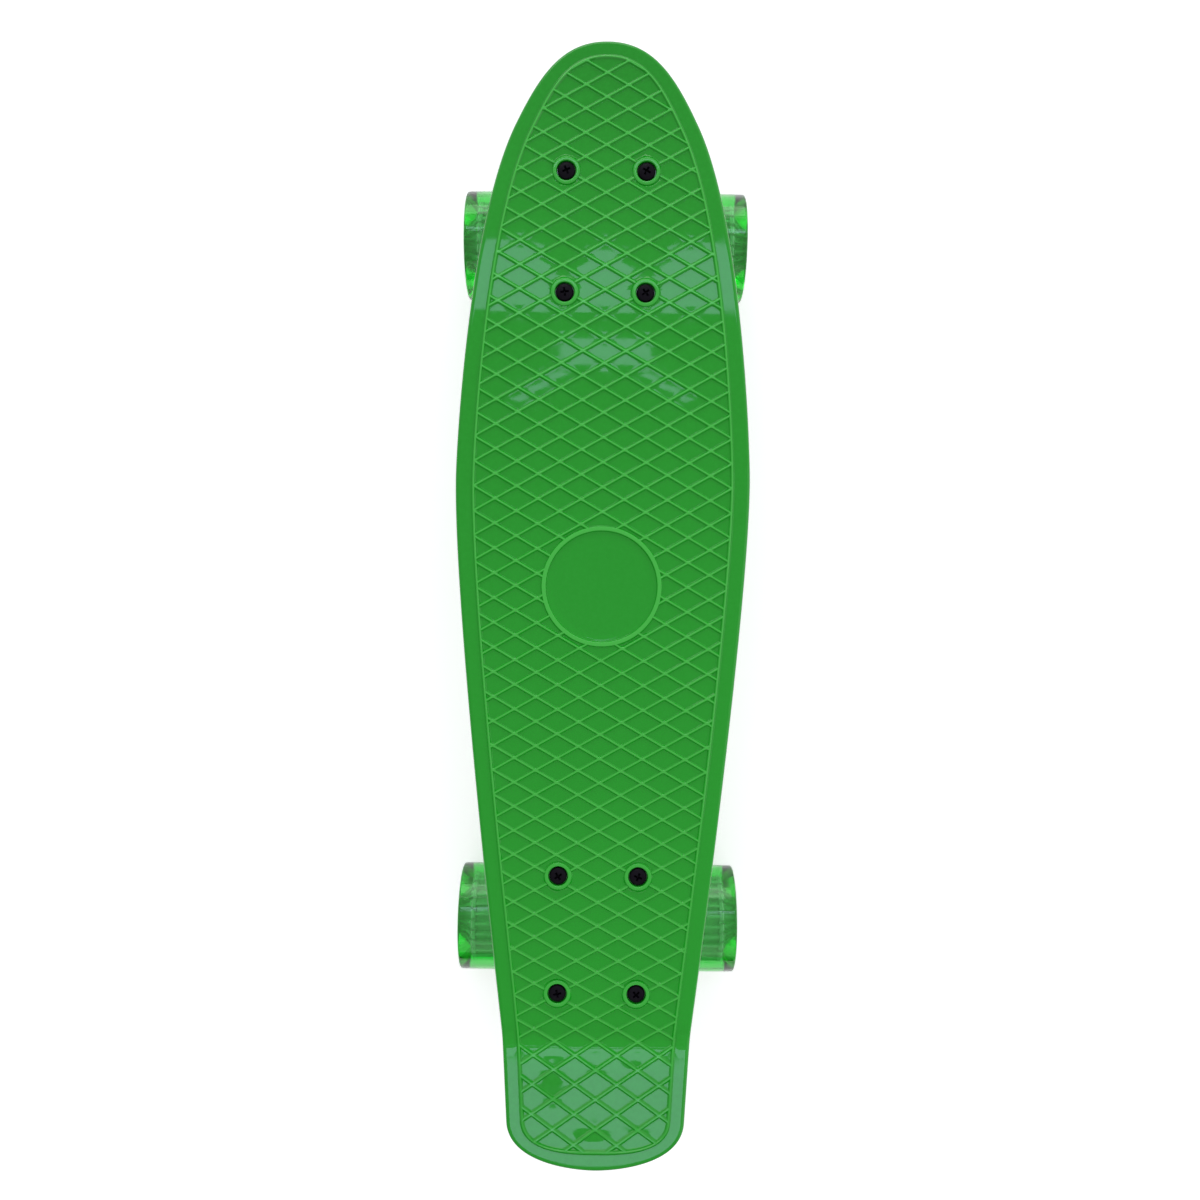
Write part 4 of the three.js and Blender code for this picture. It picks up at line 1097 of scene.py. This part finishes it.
class Finish:
    """A material with a Principled surface, and short ways to add procedural detail to it."""

    def __init__(self, name, **sockets):
        self.material = bpy.data.materials.new(name)
        self.material.use_nodes = True
        self.tree = self.material.node_tree
        self.surface = self.tree.nodes["Principled BSDF"]
        for socket, value in sockets.items():
            self.surface.inputs[socket.replace("_", " ")].default_value = value
        self.coordinates = self.tree.nodes.new("ShaderNodeTexCoord")

    def link(self, start, end):
        self.tree.links.new(start, end)

    def noise(self, scale, detail=3, roughness=0.5, stretch=None, where=None):
        """Noise value; the scale is in features per metre."""
        node = self.tree.nodes.new("ShaderNodeTexNoise")
        node.inputs["Scale"].default_value = scale
        node.inputs["Detail"].default_value = detail
        node.inputs["Roughness"].default_value = roughness
        where = where or self.coordinates.outputs["Object"]
        if stretch:
            mapping = self.tree.nodes.new("ShaderNodeMapping")
            mapping.inputs["Scale"].default_value = stretch
            self.link(where, mapping.inputs["Vector"])
            where = mapping.outputs["Vector"]
        self.link(where, node.inputs["Vector"])
        return node.outputs["Fac"]

    def axis(self, name):
        """One of the object's own coordinates, in metres."""
        node = self.tree.nodes.new("ShaderNodeSeparateXYZ")
        self.link(self.coordinates.outputs["Object"], node.inputs["Vector"])
        return node.outputs[name]

    def attribute(self, name, output="Fac"):
        node = self.tree.nodes.new("ShaderNodeAttribute")
        node.attribute_name = name
        return node.outputs[output]

    def ramp(self, value, low, high, to_low=0.0, to_high=1.0):
        node = self.tree.nodes.new("ShaderNodeMapRange")
        node.clamp = True
        for socket, number in zip(
            ("From Min", "From Max", "To Min", "To Max"), (low, high, to_low, to_high)
        ):
            node.inputs[socket].default_value = number
        self.link(value, node.inputs["Value"])
        return node.outputs["Result"]

    def math(self, operation, a, b):
        return math_value(self.tree, operation, a, b)

    def mix(self, factor, first, second):
        """Colour between two; each is a colour or a socket."""
        node = self.tree.nodes.new("ShaderNodeMix")
        node.data_type = "RGBA"
        self.link(factor, node.inputs["Factor"])
        for socket, value in ((node.inputs[6], first), (node.inputs[7], second)):
            if isinstance(value, tuple):
                socket.default_value = value
            else:
                self.link(value, socket)
        return node.outputs[2]

    def bump(self, height, depth, strength=1.0, after=None):
        """Surface relief of that depth in metres."""
        node = self.tree.nodes.new("ShaderNodeBump")
        node.inputs["Strength"].default_value = strength
        node.inputs["Distance"].default_value = depth
        self.link(height, node.inputs["Height"])
        if after is not None:
            self.link(after, node.inputs["Normal"])
        self.link(node.outputs["Normal"], self.surface.inputs["Normal"])
        return node.outputs["Normal"]

    def use(self, socket, value):
        self.link(value, self.surface.inputs[socket])


def srgb(red, green, blue):
    """Linear colour from 0 to 255 display values."""
    def linear(v):
        v /= 255
        return v / 12.92 if v <= 0.04045 else ((v + 0.055) / 1.055) ** 2.4
    return (linear(red), linear(green), linear(blue), 1.0)


def deck_plastic():
    """Glossy moulded polypropylene: saturated green, paler on the crests as painted light, and painted shade
    that darkens it towards the nose and on the tail.
    """
    finish = Finish("deck_plastic", Roughness=0.12, IOR=1.49)
    finish.surface.inputs["Specular IOR Level"].default_value = 0.4
    # painted shade: the green darkens steadily from the tail end towards the nose
    flow_lines_and_painted_shade = finish.ramp(finish.axis("Y"), -0.23, 0.28)
    body = finish.mix(flow_lines_and_painted_shade, srgb(22, 163, 32), srgb(15, 144, 25))
    body = finish.mix(finish.ramp(finish.noise(9, 2), 0.3, 0.7, 0, 0.25), body, srgb(26, 165, 37))
    # painted shade: the tail past the kick is painted darker, and its crests keep only about a third of their
    # painted light
    tail = finish.ramp(finish.axis("Y"), -0.250, -0.222, 1, 0)
    body = finish.mix(tail, body, srgb(14, 144, 22))
    speckle = finish.ramp(finish.noise(420, 4), 0.35, 0.7)
    body = finish.mix(finish.math("MULTIPLY", speckle, 0.25), body, srgb(33, 165, 43))
    # painted light: the rib crests are painted paler, standing in for the light that the thin ribs catch and
    # let through
    painted_crest_light = finish.ramp(finish.attribute("painted_crest_share"), 0.6, 1.0)
    painted_crest_light = finish.math("MULTIPLY", painted_crest_light, finish.ramp(tail, 0, 1, 1, 0.35))
    finish.use("Base Color", finish.mix(painted_crest_light, body, srgb(66, 188, 68)))
    haze = finish.ramp(finish.noise(160, 3), 0.4, 0.75, 0.025, 0.06)
    scuffs = finish.ramp(finish.noise(60, 6, 0.7, (1, 9, 1)), 0.6, 0.8, 0, 0.05)
    worn = finish.math("MULTIPLY", painted_crest_light, 0.10)
    rough = finish.math("ADD", finish.math("ADD", haze, scuffs), worn)
    finish.use("Roughness", rough)
    wave = finish.bump(finish.noise(55, 1), 0.00004, 0.35)
    finish.bump(finish.noise(900, 3), 0.000003, 0.3, wave)
    return finish.material


def urethane():
    """Clear green cast urethane: smooth skin, colour from its depth, and faint flow lines."""
    finish = Finish("urethane", Roughness=0.04, IOR=1.48)
    finish.surface.inputs["Transmission Weight"].default_value = 1.0
    tint = finish.mix(finish.noise(30, 3), (0.96, 1.0, 0.96, 1), (0.99, 1.0, 0.99, 1))
    finish.use("Base Color", tint)
    streaks = finish.noise(9, 3, 0.6, where=finish.attribute("fan", "Vector"))
    flow_lines_and_painted_shade = finish.bump(streaks, 0.0005, 0.35)
    finish.bump(finish.noise(700, 3), 0.00001, 0.2, flow_lines_and_painted_shade)
    finish.use("Roughness", finish.ramp(finish.noise(120, 3), 0.4, 0.75, 0.02, 0.07))
    depth = finish.tree.nodes.new("ShaderNodeVolumeAbsorption")
    depth.inputs["Color"].default_value = (0.28, 0.93, 0.42, 1)
    depth.inputs["Density"].default_value = 95
    output = finish.tree.nodes["Material Output"]
    finish.link(depth.outputs["Volume"], output.inputs["Volume"])
    return finish.material


def mottled(name, colour, gloss, grain, **sockets):
    """Finish whose colour, gloss and surface each follow a noise of their own.
    colour: noise scale and detail, two colours; gloss: noise scale and detail, range of the noise and
    of the roughness; grain: noise scale and detail, depth in metres and strength."""
    finish = Finish(name, **sockets)
    finish.use("Base Color", finish.mix(finish.noise(*colour[:2]), *colour[2:]))
    finish.use("Roughness", finish.ramp(finish.noise(*gloss[:2]), *gloss[2:]))
    finish.bump(finish.noise(*grain[:2]), *grain[2:])
    return finish


def nylon():
    """Moulded nylon, pale and faintly mottled."""
    body = (60, 3, srgb(226, 236, 222), srgb(238, 244, 234))
    gloss = (400, 2, 0.35, 0.7, 0.32, 0.48)
    return mottled("nylon", body, gloss, (1500, 2, 0.00002, 0.4), Roughness=0.4, IOR=1.53).material


def cast_metal():
    """Cast aluminium, tumbled: fine grain, soft cloudiness and small pits."""
    finish = Finish("cast_metal", Metallic=1.0, Roughness=0.4)
    cloud = finish.mix(finish.noise(45, 4), (0.47, 0.48, 0.49, 1), (0.60, 0.61, 0.62, 1))
    grain = finish.ramp(finish.noise(2600, 2), 0.35, 0.65)
    shadow = finish.math("MULTIPLY", grain, 0.35)
    finish.use("Base Color", finish.mix(shadow, cloud, (0.36, 0.37, 0.38, 1)))
    finish.use("Roughness", finish.ramp(finish.noise(180, 4), 0.3, 0.75, 0.30, 0.52))
    pits = finish.bump(finish.noise(1400, 3), 0.00008, 0.45)
    finish.bump(finish.noise(140, 2), 0.0002, 0.25, pits)
    return finish.material


def zinc_steel():
    """Bright zinc plate with a fine grain and a faint cloud."""
    plate = (120, 4, (0.55, 0.56, 0.58, 1), (0.70, 0.70, 0.69, 1))
    gloss = (500, 4, 0.3, 0.75, 0.18, 0.36)
    grain = (1800, 2, 0.00003, 0.35)
    return mottled("zinc_steel", plate, gloss, grain, Metallic=1.0, Roughness=0.25).material


def bearing_steel():
    """Ground ring steel with a fine grain."""
    steel = (300, 2, (0.66, 0.66, 0.66, 1), (0.74, 0.74, 0.74, 1))
    gloss = (900, 3, 0.3, 0.7, 0.12, 0.24)
    grain = (3000, 1, 0.00001, 0.3)
    return mottled("bearing_steel", steel, gloss, grain, Metallic=1.0, Roughness=0.18).material


def black_oxide():
    """Black oxide steel, oiled, with a few worn spots."""
    finish = Finish("black_oxide", Roughness=0.5)
    finish.surface.inputs["Specular IOR Level"].default_value = 0.1
    worn = finish.math("MULTIPLY", finish.ramp(finish.noise(700, 5, 0.7), 0.62, 0.8), 0.35)
    dark = finish.mix(finish.noise(200, 3), (0.002, 0.001, 0.004, 1), (0.006, 0.004, 0.009, 1))
    finish.use("Base Color", finish.mix(worn, dark, (0.03, 0.03, 0.035, 1)))
    finish.use("Roughness", finish.ramp(finish.noise(900, 3), 0.3, 0.7, 0.38, 0.6))
    finish.bump(finish.noise(1800, 3), 0.00004, 0.5)
    return finish.material


def black_rubber():
    """Matt moulded rubber."""
    rubber = (300, 4, (0.012, 0.012, 0.013, 1), (0.026, 0.026, 0.027, 1))
    gloss = (600, 3, 0.3, 0.7, 0.5, 0.72)
    return mottled("black_rubber", rubber, gloss, (2200, 2, 0.00003, 0.5), Roughness=0.6).material


def bushing_urethane():
    """Off-white cast urethane, a little waxy."""
    body = (80, 3, srgb(206, 202, 186), srgb(222, 219, 206))
    gloss = (500, 3, 0.3, 0.7, 0.34, 0.5)
    grain = (900, 2, 0.00003, 0.4)
    finish = mottled("bushing_urethane", body, gloss, grain, Roughness=0.42, IOR=1.5)
    finish.surface.inputs["Subsurface Weight"].default_value = 0.25
    finish.surface.inputs["Subsurface Scale"].default_value = 0.003
    return finish.material


# ---------------------------------------------------------------- stage, light and camera

FLOOR_GLOW = 0.52
WORLD_LEVEL = 0.68
WORLD_NOSE = 0.64  # gain of the world's light towards the nose, low down
WORLD_RIGHT = 0.24
LAMP_HEIGHT = 3.9  # of the lamps that the deck mirrors, in metres above it


def area_light(name, where, target, size, power, colour):
    data = bpy.data.lights.new(name, "AREA")
    data.shape = "RECTANGLE"
    data.size, data.size_y = size
    data.energy = power
    data.color = colour
    lamp = bpy.data.objects.new(name, data)
    bpy.context.scene.collection.objects.link(lamp)
    lamp.location = where
    lamp.rotation_mode = "QUATERNION"
    lamp.rotation_quaternion = (Vector(where) - Vector(target)).to_track_quat("Z", "Y")
    return lamp


def make_floor():
    """Pale floor that shows white to the camera and keeps the board's shadow."""
    bm = bmesh.new()
    bmesh.ops.create_grid(bm, x_segments=1, y_segments=1, size=9)
    mesh = bpy.data.meshes.new("floor")
    bm.to_mesh(mesh)
    bm.free()
    floor = bpy.data.objects.new("floor", mesh)
    bpy.context.scene.collection.objects.link(floor)
    finish = Finish("floor", Roughness=0.9)
    finish.surface.inputs["Specular IOR Level"].default_value = 0
    tint = finish.mix(finish.noise(6, 2), (0.80, 0.80, 0.80, 1), (0.81, 0.81, 0.81, 1))
    finish.use("Base Color", tint)
    path = finish.tree.nodes.new("ShaderNodeLightPath")
    seen = finish.math("MAXIMUM", path.outputs["Is Camera Ray"], path.outputs["Is Glossy Ray"])
    glow = finish.math("MULTIPLY", seen, FLOOR_GLOW)
    finish.surface.inputs["Emission Color"].default_value = (1, 1, 1, 1)
    finish.use("Emission Strength", glow)
    mesh.materials.append(finish.material)


def make_world():
    """White to the camera; as light, brighter low down on the nose side and the right."""
    world = bpy.data.worlds.new("studio")
    bpy.context.scene.world = world
    world.use_nodes = True
    tree = world.node_tree
    background = tree.nodes["Background"]
    background.inputs["Color"].default_value = (1, 1, 1, 1)
    way = tree.nodes.new("ShaderNodeSeparateXYZ")
    tree.links.new(tree.nodes.new("ShaderNodeTexCoord").outputs["Generated"], way.inputs["Vector"])
    nose = math_value(tree, "MULTIPLY", way.outputs["Y"], WORLD_NOSE)
    right = math_value(tree, "MULTIPLY", way.outputs["X"], WORLD_RIGHT)
    side = math_value(tree, "ADD", nose, right)
    low = math_value(tree, "SUBTRACT", 1, way.outputs["Z"])
    light = math_value(tree, "ADD", math_value(tree, "MULTIPLY", side, low), WORLD_LEVEL)
    path = tree.nodes.new("ShaderNodeLightPath")
    strength = tree.nodes.new("ShaderNodeMapRange")
    strength.inputs["To Max"].default_value = 1.0
    tree.links.new(path.outputs["Is Camera Ray"], strength.inputs["Value"])
    tree.links.new(light, strength.inputs["To Min"])
    tree.links.new(strength.outputs["Result"], background.inputs["Strength"])


def make_lights():
    """A far softbox strip and a smaller arched one, which the deck mirrors, and soft fill from the sides."""
    deck_z = DECK_MID_Z * MM
    sky = (0.60, 0.68, 1)
    height = LAMP_HEIGHT + deck_z
    area_light("softbox", (0, 1.865, height), (0, 0, deck_z), (2.4, 0.43), 11.9, sky)
    for name, x, y, size, turn in (
        ("arch", 0.008, 1.367, (0.365, 0.18), 0),
        ("arch_left", -0.246, 1.155, (0.28, 0.065), 46),
        ("arch_right", 0.252, 1.160, (0.26, 0.06), -43),
    ):
        lamp = area_light(name, (x, y, height), (x, y, 0), size, 11.5 * size[0] * size[1], sky)
        lamp.rotation_mode = "XYZ"
        lamp.rotation_euler = (0, 0, math.radians(turn))
    area_light("key", (-0.5, 3.0, 1.15), (0, 0, 0.05), (2.4, 1.5), 20, (1, 1, 1))
    area_light("rear", (-0.3, -2.5, 1.5), (0, 0, 0.05), (2.4, 1.5), 7, (1, 1, 1))
    area_light("side", (2.4, -0.3, 1.3), (0, 0, 0.05), (1.6, 2.0), 5, (1, 1, 1))


def make_camera():
    """Straight above the deck, leaning a little towards the nose, and rolled a little."""
    data = bpy.data.cameras.new("camera")
    data.sensor_width = 36
    data.lens = 35.1
    camera = bpy.data.objects.new("camera", data)
    bpy.context.scene.collection.objects.link(camera)
    distance = 0.595
    lean = math.radians(1.55)
    roll = math.radians(0.69)
    aim = Vector((-0.0009, -0.0003, DECK_MID_Z * MM))
    back = Vector((0, math.sin(lean), math.cos(lean)))
    camera.location = aim + distance * back
    camera.rotation_euler = (-lean, 0, roll)
    bpy.context.scene.camera = camera


# ---------------------------------------------------------------- assembly

make_camera()
make_world()
make_lights()
make_floor()

MATERIALS = {
    "deck_plastic": deck_plastic(),
    "urethane": urethane(),
    "nylon": nylon(),
    "cast_metal": cast_metal(),
    "zinc_steel": zinc_steel(),
    "bearing_steel": bearing_steel(),
    "black_screw": black_oxide(),
    "black_rubber": black_rubber(),
    "bushing": bushing_urethane(),
}


def copied(o, matrix):
    """Another piece of the same shape, placed by the matrix."""
    twin = bpy.data.objects.new(o.name, o.data.copy())
    bpy.context.scene.collection.objects.link(twin)
    return placed(twin, matrix)


def finished(o, name, slot, *nodes, body=None):
    """Names a piece, gives it its material and lets it stand for its CAD nodes."""
    o.name = o.data.name = name
    if len(o.data.materials) < 2:
        o.data.materials.clear()
        o.data.materials.append(MATERIALS[slot])
    if nodes:
        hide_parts(*nodes)
    if body:
        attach(o, body)
    return o


def seal_faces(o, low, high):
    """Gives the shields of a bearing, between two radii, the rubber of their seals."""
    o.data.materials.clear()
    o.data.materials.append(MATERIALS["bearing_steel"])
    o.data.materials.append(MATERIALS["black_rubber"])
    for face in o.data.polygons:
        r = math.hypot(face.center.x, face.center.y) / MM
        if low < r < high and abs(face.center.z) / MM > 2:
            face.material_index = 1


def add_deck():
    deck = make_deck()
    finished(deck, "deck_moulding", "deck_plastic", "deck", body="deck")
    shape, insert = lock_nut(8, 4.6, 2.45, 0)
    for place in SCREWS:
        name = place["name"]
        finished(screw(place), f"screw_{name}", "black_screw", f"deck_screw_{name}", body="deck")
        x, y, _ = place["at"]
        top = extent(f"deck_nut_{name}")[1][2]
        down = Matrix.Translation((x, y, top)) @ Matrix.Rotation(math.pi, 4, "X")
        turn = Matrix.Rotation(math.radians(SCREW_TURNS[name]), 4, "Z")
        nut = copied(shape, down @ turn)
        finished(nut, f"lock_nut_{name}", "zinc_steel", f"deck_nut_{name}", body="deck")
        finished(copied(insert, down), f"nut_insert_{name}", "nylon", body="deck")
    remove(shape, insert)


def add_trucks():
    plate, casting, pin = baseplate(), hanger(), kingpin()
    shaft, cup, washer = axle(), pivot_cup(), cup_washer()
    nut, nut_insert = lock_nut(*KINGPIN_NUT, KINGPIN_R + 0.1, NUT_FROM)
    for o in (nut, nut_insert):
        placed(o, ON_KINGPIN)
    wheel_nut, wheel_insert = lock_nut(*AXLE_NUT, AXLE_R + 0.1, SLEEVE_TO + FIT)
    board = (-RING_HALF - FIT - BUSHING, -RING_HALF - FIT)
    road = (RING_HALF + FIT, RING_HALF + FIT + BUSHING)
    bushings = {
        "board": (bushing(*board, BUSHING_R - 0.3, BUSHING_R - 0.1), board),
        "road": (bushing(*road, BUSHING_R - 0.1, CONE_R), road),
    }
    for end in ENDS:
        here = TRUCK[end]
        arm = f"{end}_hanger"
        for shape, name, slot, node, body in (
            (plate, "baseplate_casting", "cast_metal", "baseplate", "deck"),
            (casting, "hanger_casting", "cast_metal", "hanger", arm),
            (pin, "kingpin_bolt", "zinc_steel", "kingpin", "deck"),
            (nut, "kingpin_lock_nut", "zinc_steel", "kingpin_nut", "deck"),
            (cup, "pivot_bush", "black_rubber", "pivot_cup", "deck"),
            (washer, "cup_washer", "zinc_steel", "washer_road", "deck"),
            (shaft, "axle_rod", "zinc_steel", "axle", arm),
        ):
            finished(copied(shape, here), f"{end}_{name}", slot, f"{end}_{node}", body=body)
        finished(copied(nut_insert, here), f"{end}_kingpin_nut_insert", "nylon", body="deck")
        for which, (shape, (near, far)) in bushings.items():
            piece = copied(shape, here)
            finished(piece, f"{end}_{which}_side_bushing", "bushing", f"{end}_bushing_{which}")
            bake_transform(piece)
        for side in SIDES:
            sign = OUTWARD[end, side]
            name = f"{end}_{side}_axle"
            hub = Matrix.Translation((sign * WHEEL_X, AXLE.y, AXLE.z))
            at = here @ hub @ along((0, 0, 0), (sign, 0, 0))
            steel, ring = copied(wheel_nut, at), copied(wheel_insert, at)
            finished(steel, f"{name}_lock_nut", "zinc_steel", f"{end}_axle_nut_{side}", body=arm)
            finished(ring, f"{name}_nut_insert", "nylon", body=arm)
    remove(plate, casting, pin, shaft, cup, washer, nut, nut_insert, wheel_nut, wheel_insert)
    remove(*(shape for shape, _ in bushings.values()))


def add_wheels():
    rubber, hub, ring, tube = tyre(), core(), bearing(), sleeve()
    seal_faces(ring, 6.4, 9.4)
    middle = BEARING_FROM + BEARING_WIDTH / 2
    for (end, side), at in WHEEL.items():
        name = f"{end}_{side}"
        body = f"wheel_{name}"
        finished(copied(rubber, at), f"urethane_{name}", "urethane", f"tyre_{name}", body=body)
        finished(copied(hub, at), f"hub_{name}", "nylon", f"core_{name}", body=body)
        finished(copied(tube, at), f"races_{name}", "bearing_steel", f"sleeve_{name}", body=f"{end}_hanger")
        for which, shift in (("outer", middle), ("inner", -middle)):
            piece = copied(ring, at @ Matrix.Translation((0, 0, shift)))
            finished(piece, f"ring_{which}_{name}", "bearing_steel", f"bearing_{which}_{name}", body=body)
    remove(rubber, hub, ring, tube)


add_deck()
add_trucks()
add_wheels()

bpy.context.scene.view_settings.view_transform = "Standard"
